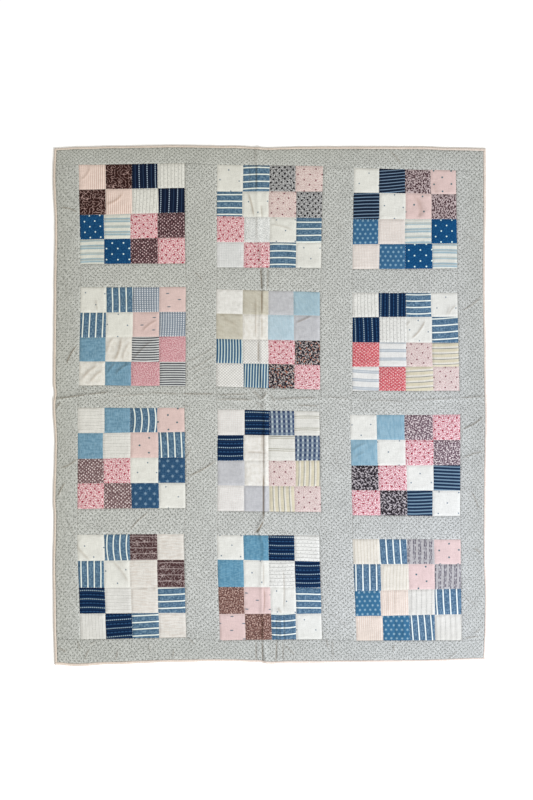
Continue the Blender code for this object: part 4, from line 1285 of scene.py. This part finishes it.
@dataclass
class Surface:
    """The height of the quilted cloth: its seams, puckers, rumples and creases.

    Attributes:
        plan: The cutting plan.
        full: Thickness in the middle of a patch, in metres, as all sizes here.
        seam: Thickness at a seam.
        ditch: How far a seam pulls the cloth down.
        pucker: Height of the puckers beside a seam.
        pucker_reach: How far they reach.
        slack: How much of a crease is cloth, before the underside lifts.
    """

    plan: CuttingPlan
    full: float = 0.0043
    seam: float = 0.0030
    ditch: float = 0.0030
    pucker: float = 0.00065
    pucker_reach: float = 0.0075
    slack: float = 0.0010

    RUMPLES = ((95.0, 0.42), (38.0, 0.42), (17.0, 0.38), (8.5, 0.22))
    PUCKER_WAVE = 9.0
    WRINKLE_RISE = 1.7
    # Gain and narrowing of the brown along the wrinkles, partly real age staining and partly painted crease
    # shade.
    STAIN_SHADE_GAIN = 1.6
    STAIN_SHADE_NARROW = 0.65
    DIMPLE = 0.00022
    DIMPLE_PITCH = 0.0062
    DIMPLE_REACH = 0.0030
    SEAM_RUMPLE = 0.35
    SEAM_PUCKER = 0.3
    THINNEST = 0.0016

    def __post_init__(self) -> None:
        """Draws the noise of the rumples and puckers."""
        self.rumple_noise = SoftNoise(23)
        self.pucker_noise = SoftNoise(41)

    def lift(self, x: np.ndarray, y: np.ndarray) -> np.ndarray:
        """How far the two main creases lift the cloth."""
        x, y = x - OFF_CENTRE[0], y - OFF_CENTRE[1]

        def ridge(stations: tuple[Station, ...], along: np.ndarray, aside: np.ndarray) -> np.ndarray:
            """Height of one main crease."""
            away = aside - eased(stations, along, "middle")
            height = eased(stations, along, "height")
            return height * np.exp(-((away / eased(stations, along, "half_width")) ** 2))

        return np.maximum(ridge(CENTRE_CREASE, y, x), ridge(CROSS_CREASE, x, y))

    def wrinkles(self, x: np.ndarray, y: np.ndarray) -> tuple[np.ndarray, np.ndarray]:
        """Height of the small creases at each place, and the brown along them: partly real age staining,
        partly painted crease shade.
        """
        x, y = x - OFF_CENTRE[0], y - OFF_CENTRE[1]
        height, stain = np.zeros_like(x), np.zeros_like(x)
        for wrinkle in WRINKLES:
            reach = (abs(wrinkle.bow) + 4 * wrinkle.half_width) * MM
            near = np.ones(x.shape, dtype=bool)
            for place, first, last in zip((x, y), wrinkle.start, wrinkle.end):
                near &= place > min(first, last) * MM - reach
                near &= place < max(first, last) * MM + reach
            if near.any():
                rise = wrinkle.height * self.WRINKLE_RISE * MM
                height[near] += rise * wrinkle.profile(x[near], y[near])
                # The brown line along a wrinkle: partly real age staining, partly painted crease shade.
                line = wrinkle.stain * wrinkle.profile(x[near], y[near], self.STAIN_SHADE_NARROW)
                stain[near] = np.maximum(stain[near], line * self.STAIN_SHADE_GAIN)
        return height, np.minimum(stain, 1.0)

    def top(self, across: np.ndarray, up: np.ndarray, near_across: np.ndarray,
            near_up: np.ndarray) -> tuple[np.ndarray, np.ndarray]:
        """Height of the face, and the brown along its creases: partly real age staining, partly painted
        crease shade.

        Args:
            across: Plan places across.
            up: Plan places up.
            near_across: Distance to the nearest seam, across.
            near_up: Distance to the nearest seam, up.

        Returns:
            The height, and the brown of staining and painted crease shade, at each place.
        """
        x, y = self.plan.place(across, up)
        puff = 1 - np.exp(-((near_across / self.ditch) ** 2))
        puff = puff * (1 - np.exp(-((near_up / self.ditch) ** 2)))
        depth = self.plan.seam_depth(across, up)
        height = self.full - (self.full - self.seam) * (1 - puff) * depth
        turn = 2 * math.pi / self.DIMPLE_PITCH
        for near, along in ((near_across, up), (near_up, across)):
            pull = (0.5 + 0.5 * np.cos(along * turn)) * np.exp(-((near / self.DIMPLE_REACH) ** 2))
            height = height - self.DIMPLE * depth * pull
        rumpled = self.SEAM_RUMPLE + (1 - self.SEAM_RUMPLE) * puff
        for wave, reach in self.RUMPLES:
            height = height + reach * MM * self.rumple_noise.at(x, y, wave) * rumpled
        waves = self.pucker_noise.at(x, y, self.PUCKER_WAVE)
        beside = np.exp(-near_across / self.pucker_reach) + np.exp(-near_up / self.pucker_reach)
        puckered = self.SEAM_PUCKER + (1 - self.SEAM_PUCKER) * puff
        height = height + self.pucker * waves * np.minimum(beside, 1.0) * puckered
        small, stain = self.wrinkles(x, y)
        return np.maximum(height + small, self.THINNEST) + self.lift(x, y), stain

    def underside(self, x: np.ndarray, y: np.ndarray) -> np.ndarray:
        """Height of the back: on the surface, but for the main creases."""
        return np.maximum(self.lift(x, y) - self.slack, 0.0)


@dataclass(frozen=True)
class Cell:
    """One cut piece of cotton in a panel.

    Attributes:
        left: Its left seam on the plan.
        right: Its right seam.
        bottom: Its lower seam.
        top: Its upper seam.
        cotton: Its cotton; a slash at the end turns the cloth a quarter.
        lie: Turn in degrees and bow in millimetres of the cloth, or None for a random lie.
    """

    left: float
    right: float
    bottom: float
    top: float
    cotton: str
    lie: Optional[tuple[float, float]] = None


@dataclass
class Workroom:
    """What every panel shares: the plan, the surface and the finished cottons.

    Attributes:
        plan: The cutting plan.
        surface: The cloth's height.
        materials: The finished cottons by name.
        rng: Random places at which each piece of cloth was cut.
    """

    plan: CuttingPlan
    surface: Surface
    materials: dict[str, bpy.types.Material]
    rng: np.random.Generator


@dataclass
class Panel:
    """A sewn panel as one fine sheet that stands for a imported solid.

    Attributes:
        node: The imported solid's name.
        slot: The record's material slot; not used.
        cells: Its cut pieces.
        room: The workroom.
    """

    node: str
    slot: str
    cells: list[Cell]
    room: Workroom

    STEP = 0.0021
    NEAR_SEAM = (0.0010, 0.0023)
    COARSE = 4
    GAP = 0.0003
    CUT_SPREAD = 0.4
    CUT_TURN = 1.6
    CUT_BOW = 0.6

    def lines(self, seams: Lines) -> np.ndarray:
        """Mesh lines between the seams, closer beside each seam."""
        found: Lines = []
        for start, end in zip(seams, seams[1:]):
            inner_start, inner_end = start + self.NEAR_SEAM[-1], end - self.NEAR_SEAM[-1]
            steps = max(1, round((inner_end - inner_start) / self.STEP))
            found += [start, start + self.NEAR_SEAM[0]]
            found += list(np.linspace(inner_start, inner_end, steps + 1))
            found += [end - self.NEAR_SEAM[0]]
        found.append(seams[-1])
        found[0] += self.GAP / 2
        found[-1] -= self.GAP / 2
        return np.array(found)

    @property
    def seams_across(self) -> Lines:
        """The panel's upright seams, left to right."""
        return sorted({edge for cell in self.cells for edge in (cell.left, cell.right)})

    @property
    def seams_up(self) -> Lines:
        """The panel's level seams, lowest first."""
        return sorted({edge for cell in self.cells for edge in (cell.bottom, cell.top)})

    def heights(self, across: np.ndarray, up: np.ndarray, x: np.ndarray,
                y: np.ndarray) -> tuple[np.ndarray, np.ndarray]:
        """Height of the face at each mesh point, and the brown along its creases: partly real age staining,
        partly painted crease shade.
        """
        near_across = np.min([np.abs(across - seam) for seam in self.seams_across], axis=0)
        near_up = np.min([np.abs(up - seam) for seam in self.seams_up], axis=0)
        return self.room.surface.top(across, up, near_across, near_up)

    def cloth_places(self, cell: Cell, across: np.ndarray, up: np.ndarray) -> np.ndarray:
        """Places on the cloth that a cell was cut from, in metres.

        Args:
            cell: The cell.
            across: Plan places across.
            up: Plan places up.

        Returns:
            Cloth coordinates, two to each place.
        """
        start = self.room.rng.uniform(0.0, self.CUT_SPREAD, 2)
        turn, bow = self.room.rng.normal(0.0, (self.CUT_TURN, self.CUT_BOW))
        if cell.lie:
            turn, bow = cell.lie
        angle = math.radians(turn)
        if cell.cotton.endswith("/"):
            angle += math.pi / 2
        u, v = across - cell.left, up - cell.bottom
        s, t = u / (cell.right - cell.left), v / (cell.top - cell.bottom)
        u, v = u + bow * MM * 4 * t * (1 - t), v + bow * MM * 4 * s * (1 - s)
        cos, sin = math.cos(angle), math.sin(angle)
        return np.stack([start[0] + u * cos + v * sin, start[1] - u * sin + v * cos], axis=-1)

    @staticmethod
    def quads(index: np.ndarray) -> np.ndarray:
        """Four-sided faces over a grid of point numbers."""
        corners = (index[:-1, :-1], index[1:, :-1], index[1:, 1:], index[:-1, 1:])
        return np.stack(corners, axis=-1).reshape(-1, 4)

    @staticmethod
    def rim(face: np.ndarray, back: np.ndarray, picks: tuple[np.ndarray, np.ndarray]) -> list[list[int]]:
        """Faces that close the edge between the fine face and the coarser back.

        Args:
            face: Point numbers of the face.
            back: Point numbers of the back.
            picks: Lines of the face that the back has too, across and up.

        Returns:
            The faces, each with two points of the back.
        """
        sides = (
            (face[:, 0], back[:, 0], picks[0]),
            (face[-1], back[-1], picks[1]),
            (face[::-1, -1], back[::-1, -1], picks[0][-1] - picks[0][::-1]),
            (face[0, ::-1], back[0, ::-1], picks[1][-1] - picks[1][::-1]),
        )
        found = []
        for upper, lower, pick in sides:
            for k in range(len(pick) - 1):
                above = upper[pick[k]:pick[k + 1] + 1]
                found.append([*lower[k:k + 2].tolist(), *above[::-1].tolist()])
        return found

    def build(self) -> bpy.types.Object:
        lines_across, lines_up = self.lines(self.seams_across), self.lines(self.seams_up)
        across, up = np.meshgrid(lines_across, lines_up, indexing="ij")
        x, y = self.room.plan.place(across, up)
        top, stain = self.heights(across, up, x, y)
        picks = tuple(np.array([*range(0, size - 1, self.COARSE), size - 1]) for size in across.shape)
        back = np.ix_(*picks)
        low = np.minimum(self.room.surface.underside(x[back], y[back]), top[back] - 0.0008)
        points = np.concatenate([
            np.stack([x, y, top], axis=-1).reshape(-1, 3),
            np.stack([x[back], y[back], low], axis=-1).reshape(-1, 3),
        ])
        face_index = np.arange(across.size).reshape(across.shape)
        back_index = across.size + np.arange(low.size).reshape(low.shape)
        front, rear = self.quads(face_index), self.quads(back_index)[:, ::-1]
        rim = self.rim(face_index, back_index, picks)
        mesh = bpy.data.meshes.new("panel_" + self.node)
        mesh.from_pydata(points.tolist(), [], front.tolist() + rear.tolist() + rim)
        plan_across = np.concatenate([across.ravel(), across[back].ravel()])
        plan_up = np.concatenate([up.ravel(), up[back].ravel()])
        self.dress(mesh, plan_across, plan_up, range(len(front), len(front) + len(rear)))
        # The brown along the creases, partly real age staining and partly painted crease shade, goes on the
        # points.
        stain_shade_attribute = mesh.attributes.new(STAIN_SHADE_ATTR, "FLOAT", "POINT")
        stain_shades = np.concatenate([stain.ravel(), np.zeros(low.size)])
        stain_shade_attribute.data.foreach_set("value", stain_shades.astype(np.float32))
        mesh.shade_smooth()
        piece = bpy.data.objects.new("panel_" + self.node, mesh)
        bpy.context.scene.collection.objects.link(piece)
        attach(piece, BODY)
        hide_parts(self.node)
        size = (self.seams_across[-1] - self.seams_across[0], self.seams_up[-1] - self.seams_up[0])
        max(size[0], 0.01)
        max(size[1], 0.01)
        spread = [side / MM for side in size]
        LOG.info("%s: %d faces, %.0f x %.0f mm", piece.name, len(mesh.polygons), *spread)
        return piece

    def dress(self, mesh: bpy.types.Mesh, across: np.ndarray, up: np.ndarray, back: range) -> None:
        """Gives each cell its cotton and its own cloth coordinates.

        Args:
            mesh: The panel's mesh.
            across: Plan places of its points.
            up: Plan places up of its points.
            back: Its faces on the back.
        """
        names = sorted({cell.cotton.rstrip("/") for cell in self.cells}) + ["backing_pink"]
        for name in names:
            mesh.materials.append(self.room.materials[name])
        corners = np.zeros(len(mesh.loops), np.int32)
        mesh.loops.foreach_get("vertex_index", corners)
        sizes = np.zeros(len(mesh.polygons), np.int32)
        mesh.polygons.foreach_get("loop_total", sizes)
        owner = np.repeat(np.arange(len(sizes)), sizes)
        middle_across = np.bincount(owner, across[corners]) / sizes
        middle_up = np.bincount(owner, up[corners]) / sizes
        slots = np.zeros(len(sizes), np.int32)
        places = np.zeros((len(corners), 2))
        for cell in self.cells:
            inside = (middle_across > cell.left) & (middle_across < cell.right)
            inside &= (middle_up > cell.bottom) & (middle_up < cell.top)
            slots[inside] = names.index(cell.cotton.rstrip("/"))
            own = inside[owner]
            places[own] = self.cloth_places(cell, across[corners[own]], up[corners[own]])
        slots[back.start:back.stop] = len(names) - 1
        mesh.polygons.foreach_set("material_index", slots)
        layer = mesh.uv_layers.new(name=CLOTH_UV)
        layer.data.foreach_set("uv", places.reshape(-1).astype(np.float32))


@dataclass
class BindingPanel(Panel):
    """A binding strip, round over the quilt's edge.

    Attributes:
        inward: Distance in from the edge at each plan point.
    """

    inward: Callable[[np.ndarray, np.ndarray], np.ndarray] = None

    CROWN = 0.0007
    EDGE = 0.0024
    STRIP = 4

    def lines(self, seams: Lines) -> np.ndarray:
        """Mesh lines: a few across the strip, the panel's own along it."""
        if seams[-1] - seams[0] > 2 * self.room.plan.binding:
            return super().lines(seams)
        found = np.linspace(seams[0], seams[-1], self.STRIP + 1)
        found[0] += self.GAP / 2
        found[-1] -= self.GAP / 2
        return found

    def heights(self, across: np.ndarray, up: np.ndarray, x: np.ndarray,
                y: np.ndarray) -> tuple[np.ndarray, np.ndarray]:
        """Height of the strip at each mesh point, and the brown along its creases: partly real age staining,
        partly painted crease shade.
        """
        surface = self.room.surface
        share = np.clip(self.inward(across, up) / self.room.plan.binding, 0.0, 1.0)
        small, stain = surface.wrinkles(x, y)
        flat = self.EDGE + (surface.seam + 0.0006 - self.EDGE) * np.sqrt(share)
        height = flat + self.CROWN * np.sin(math.pi * share ** 0.8)
        rumple = surface.pucker_noise.at(x, y, 7.0) * 0.00025 * np.sin(math.pi * share)
        return np.maximum(height + small * 0.5 + rumple, 0.0012) + surface.lift(x, y), stain


@dataclass
class Quilt:
    """The whole quilt.

    Attributes:
        room: The workroom.
    """

    room: Workroom

    def blocks(self) -> list[Panel]:
        """The pieced blocks."""
        plan, found = self.room.plan, []
        for (row, column), design in DESIGNS.items():
            across, up = plan.patch_seams_across(column - 1), plan.patch_seams_up(row - 1)
            cells = []
            for spot in np.ndindex(plan.PATCHES, plan.PATCHES):
                low, left = plan.PATCHES - 1 - spot[0], spot[1]
                sides = (across[left], across[left + 1], up[low], up[low + 1])
                cells.append(Cell(*sides, design.cotton(*spot), design.lies.get(spot)))
            found.append(Panel(f"block_r{row}c{column}", "patchwork", cells, self.room))
        return found

    def strip(self, node: str, slot: str, across: tuple[float, float], up: tuple[float, float],
              cotton: str = "print_grey") -> Panel:
        """A printed strip between four seams."""
        return Panel(node, slot, [Cell(*across, *up, cotton)], self.room)

    def sashes(self) -> list[Panel]:
        """The short and the long sashes."""
        plan, found = self.room.plan, []
        for row in range(plan.ROWS - 1):
            top = plan.tops[row] - plan.block_height
            for column in range(plan.COLUMNS):
                left = plan.lefts[column]
                found.append(self.strip(
                    f"sash_short_r{row + 1}c{column + 1}", "sashing",
                    (left, left + plan.block_width), (top - plan.short_sash, top)))
        for number in range(1, plan.COLUMNS):
            right = plan.lefts[number]
            found.append(self.strip(
                f"sash_long_{number}", "sashing", (right - plan.long_sash, right), self.pieced_up))
        return found

    @property
    def pieced_up(self) -> tuple[float, float]:
        """The lowest and highest seam of the pieced middle."""
        return float(self.room.plan.sides_up[0]), float(self.room.plan.sides_up[-1])

    @property
    def pieced_across(self) -> tuple[float, float]:
        """The leftmost and rightmost seam of the pieced middle."""
        return float(self.room.plan.sides_across[0]), float(self.room.plan.sides_across[-1])

    def borders(self) -> list[Panel]:
        """The four borders."""
        plan = self.room.plan
        left, right = self.pieced_across
        bottom, top = self.pieced_up
        full = (-plan.seam_across, plan.seam_across)
        return [
            self.strip("border_left", "border", (-plan.seam_across, left), (bottom, top),
                       "print_grey_slant"),
            self.strip("border_right", "border", (right, plan.seam_across), (bottom, top)),
            self.strip("border_bottom", "border", full, (-plan.seam_up, bottom)),
            self.strip("border_top", "border", full, (top, plan.seam_up)),
        ]

    def bindings(self) -> list[Panel]:
        """The four binding strips."""
        plan = self.room.plan
        half_width, half_length = plan.width / 2, plan.length / 2

        def inward(across: np.ndarray, up: np.ndarray) -> np.ndarray:
            """Distance in from the nearest edge of the quilt."""
            return np.minimum(half_width - np.abs(across), half_length - np.abs(up))

        spans = {
            "left": (-half_width, -plan.seam_across, -plan.seam_up, plan.seam_up),
            "right": (plan.seam_across, half_width, -plan.seam_up, plan.seam_up),
            "bottom": (-half_width, half_width, -half_length, -plan.seam_up),
            "top": (-half_width, half_width, plan.seam_up, half_length),
        }
        return [
            BindingPanel("binding_" + side, "binding", [Cell(*span, "binding_pink")], self.room, inward)
            for side, span in spans.items()
        ]

    def build(self) -> list[bpy.types.Object]:
        """Makes every panel."""
        panels = self.blocks() + self.sashes() + self.borders() + self.bindings()
        return [panel.build() for panel in panels]


@dataclass
class SeamStitches:
    """The stitches that show along the seams.

    Attributes:
        room: The workroom.
        pitch: Distance from one stitch to the next, in metres, as all sizes here.
        length: Length of one.
        thickness: Thickness of the thread.
        step: Distance between the points of a seam's line.
        seed: Seed of their uneven lengths.
    """

    room: Workroom
    pitch: float = 0.0062
    length: float = 0.0030
    thickness: float = 0.0007
    step: float = 0.0100
    seed: int = 5

    def seam_lines(self) -> list[tuple[np.ndarray, np.ndarray]]:
        """Plan points along every seam."""
        plan, found = self.room.plan, []
        bottom, top = float(plan.sides_up[0]), float(plan.sides_up[-1])

        def line(across: tuple[float, float], up: tuple[float, float]) -> None:
            """Adds the seam from one plan point to another."""
            length = math.hypot(across[1] - across[0], up[1] - up[0])
            share = np.linspace(0.0, 1.0, max(2, round(length / self.step)))
            found.append((across[0] + (across[1] - across[0]) * share, up[0] + (up[1] - up[0]) * share))

        for column in range(plan.COLUMNS):
            seams = plan.patch_seams_across(column)
            for side in (seams[0], seams[-1]):
                line((side, side), (bottom, top))
            for row in range(plan.ROWS):
                levels = plan.patch_seams_up(row)
                for seam in seams[1:-1]:
                    line((seam, seam), (levels[0], levels[-1]))
                for level in levels:
                    line((seams[0], seams[-1]), (level, level))
        for side in (-1, 1):
            line((side * plan.seam_across,) * 2, (-plan.seam_up, plan.seam_up))
            line((-plan.seam_across, plan.seam_across), (side * plan.seam_up,) * 2)
        return found

    def guide(self) -> bpy.types.Object:
        """One object of lines that follow the seams on the cloth."""
        points, edges = [], []
        nought = np.zeros(1)
        for across, up in self.seam_lines():
            x, y = self.room.plan.place(across, up)
            z, _ = self.room.surface.top(across, up, nought, nought)
            first = len(points)
            points += np.stack([x, y, z + self.thickness * 0.3], axis=-1).tolist()
            edges += [(first + k, first + k + 1) for k in range(len(x) - 1)]
        mesh = bpy.data.meshes.new("seam_lines")
        mesh.from_pydata(points, edges, [])
        guide = bpy.data.objects.new("seam_lines", mesh)
        bpy.context.scene.collection.objects.link(guide)
        return guide

    def tree(self) -> tuple[bpy.types.NodeTree, dict[str, str]]:
        """The node tree that lays stitches along lines, and its inputs' identifiers."""
        tree = bpy.data.node_groups.new("stitches_on_lines", "GeometryNodeTree")
        tree.interface.new_socket("Geometry", in_out="INPUT", socket_type="NodeSocketGeometry")
        kinds = {
            "Pitch": "NodeSocketFloat", "Length": "NodeSocketFloat", "Thickness": "NodeSocketFloat",
            "Seed": "NodeSocketInt", "Thread": "NodeSocketMaterial",
        }
        names = {
            name: tree.interface.new_socket(name, in_out="INPUT", socket_type=kind).identifier
            for name, kind in kinds.items()
        }
        tree.interface.new_socket("Geometry", in_out="OUTPUT", socket_type="NodeSocketGeometry")

        def node(kind: str, **settings: object) -> bpy.types.Node:
            """A new node with its settings."""
            made = tree.nodes.new(kind)
            for key, value in settings.items():
                setattr(made, key, value)
            return made

        link = tree.links.new
        start, end = node("NodeGroupInput"), node("NodeGroupOutput")
        curve = node("GeometryNodeMeshToCurve")
        even = node("GeometryNodeResampleCurve", mode="LENGTH")
        tangent = node("GeometryNodeInputTangent")
        align = node("FunctionNodeAlignRotationToVector", axis="Z")
        bead = node("GeometryNodeMeshIcoSphere")
        bead.inputs["Radius"].default_value = 0.5
        bead.inputs["Subdivisions"].default_value = 1
        uneven = node("FunctionNodeRandomValue", data_type="FLOAT")
        uneven.inputs[2].default_value = 0.75
        uneven.inputs[3].default_value = 1.2
        longer = node("ShaderNodeMath", operation="MULTIPLY")
        size = node("ShaderNodeCombineXYZ")
        lay = node("GeometryNodeInstanceOnPoints")
        real = node("GeometryNodeRealizeInstances")
        dress = node("GeometryNodeSetMaterial")
        link(start.outputs["Geometry"], curve.inputs[0])
        link(curve.outputs[0], even.inputs["Curve"])
        link(start.outputs["Pitch"], even.inputs["Length"])
        link(tangent.outputs[0], align.inputs["Vector"])
        link(start.outputs["Seed"], uneven.inputs["Seed"])
        link(uneven.outputs[1], longer.inputs[0])
        link(start.outputs["Length"], longer.inputs[1])
        link(start.outputs["Thickness"], size.inputs[0])
        link(start.outputs["Thickness"], size.inputs[1])
        link(longer.outputs[0], size.inputs[2])
        link(even.outputs[0], lay.inputs["Points"])
        link(bead.outputs["Mesh"], lay.inputs["Instance"])
        link(align.outputs[0], lay.inputs["Rotation"])
        link(size.outputs[0], lay.inputs["Scale"])
        link(lay.outputs[0], real.inputs[0])
        link(real.outputs[0], dress.inputs["Geometry"])
        link(start.outputs["Thread"], dress.inputs["Material"])
        link(dress.outputs[0], end.inputs[0])
        return tree, names

    def build(self) -> bpy.types.Object:
        """Makes the stitches as one plain mesh."""
        guide = self.guide()
        tree, names = self.tree()
        modifier = guide.modifiers.new("stitches", "NODES")
        modifier.node_group = tree
        values = {
            "Pitch": self.pitch, "Length": self.length, "Thickness": self.thickness,
            "Seed": self.seed, "Thread": self.room.materials["thread_white"],
        }
        for name, value in values.items():
            modifier[names[name]] = value
        bpy.context.view_layer.update()
        evaluated = guide.evaluated_get(bpy.context.evaluated_depsgraph_get())
        mesh = bpy.data.meshes.new_from_object(evaluated)
        bpy.data.objects.remove(guide)
        mesh.name = "seam_stitches"
        piece = bpy.data.objects.new("seam_stitches", mesh)
        bpy.context.scene.collection.objects.link(piece)
        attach(piece, BODY)
        LOG.info("%s: %d faces", piece.name, len(mesh.polygons))
        return piece


@dataclass
class Studio:
    """The pale floor, the soft light and the camera straight above.

    Attributes:
        lens: Focal length in millimetres.
        frame_length: Length of floor along the photograph's long side, in metres.
        centre: Where the photograph's middle falls on the floor, in metres.
    """

    lens: float = 85.0
    frame_length: float = 2.0
    centre: tuple[float, float] = (-0.00895, 0.01385)

    SENSOR = 36.0
    FLOOR_SIZE = 9.0
    FLOOR_DROP = 0.0004
    FLOOR_TONE = 0.97
    SKY_TONE = (1.0, 0.975, 0.93)
    SKY_LEVEL = 0.735
    KEY_PLACE = (2.4, -2.2, 2.5)
    KEY_SIZE = 1.6
    KEY_POWER = 192.0
    KEY_TONE = (0.95, 0.98, 1.0)

    def floor(self) -> bpy.types.Object:
        """The plain pale floor."""
        bpy.ops.mesh.primitive_plane_add(size=self.FLOOR_SIZE, location=(0.0, 0.0, -self.FLOOR_DROP))
        floor = bpy.context.object
        floor.name = "floor"
        material = bpy.data.materials.new("floor_white")
        material.use_nodes = True
        shader = material.node_tree.nodes["Principled BSDF"]
        shader.inputs["Base Color"].default_value = (self.FLOOR_TONE,) * 3 + (1.0,)
        shader.inputs["Roughness"].default_value = 0.9
        shader.inputs["Specular IOR Level"].default_value = 0.1
        floor.data.materials.append(material)
        return floor

    def lights(self) -> None:
        """An even pale surround, and a large soft light from the lower right."""
        world = bpy.data.worlds.new("studio")
        world.use_nodes = True
        back = world.node_tree.nodes["Background"]
        back.inputs["Color"].default_value = (*self.SKY_TONE, 1.0)
        back.inputs["Strength"].default_value = self.SKY_LEVEL
        bpy.context.scene.world = world
        data = bpy.data.lights.new("key", "AREA")
        data.shape = "DISK"
        data.size = self.KEY_SIZE
        data.energy = self.KEY_POWER
        data.color = self.KEY_TONE
        key = bpy.data.objects.new("key", data)
        key.location = self.KEY_PLACE
        key.rotation_mode = "QUATERNION"
        key.rotation_quaternion = (-Vector(self.KEY_PLACE)).to_track_quat("-Z", "Y")
        bpy.context.scene.collection.objects.link(key)

    def camera(self) -> bpy.types.Object:
        """The camera, looking straight down at the photograph's scale."""
        data = bpy.data.cameras.new("camera")
        data.lens = self.lens
        data.sensor_width = self.SENSOR
        camera = bpy.data.objects.new("camera", data)
        camera.location = (*self.centre, self.frame_length * self.lens / self.SENSOR)
        bpy.context.scene.collection.objects.link(camera)
        bpy.context.scene.camera = camera
        return camera

    def build(self) -> None:
        """Sets the studio up."""
        self.camera()
        self.floor()
        self.lights()
        bpy.context.scene.view_settings.view_transform = "Standard"
        bpy.context.scene.view_settings.look = "None"
        LOG.info("studio: camera %.2f m above the quilt", bpy.context.scene.camera.location.z)


def main() -> None:
    """Builds the studio, the quilt's panels and its stitches."""
    logging.basicConfig(level=logging.INFO, format="%(name)s: %(message)s")
    Studio().build()
    materials = {cotton.name: cotton.material() for cotton in COTTONS}
    LOG.info("cottons: %d", len(materials))
    plan = CuttingPlan()
    room = Workroom(plan, Surface(plan), materials, np.random.default_rng(7))
    panels = Quilt(room).build()
    stitches = SeamStitches(room).build()
    faces = sum(len(piece.data.polygons) for piece in [*panels, stitches])
    LOG.info("quilt: %d pieces, %d faces", len(panels) + 1, faces)


if __name__ == "__main__":
    main()
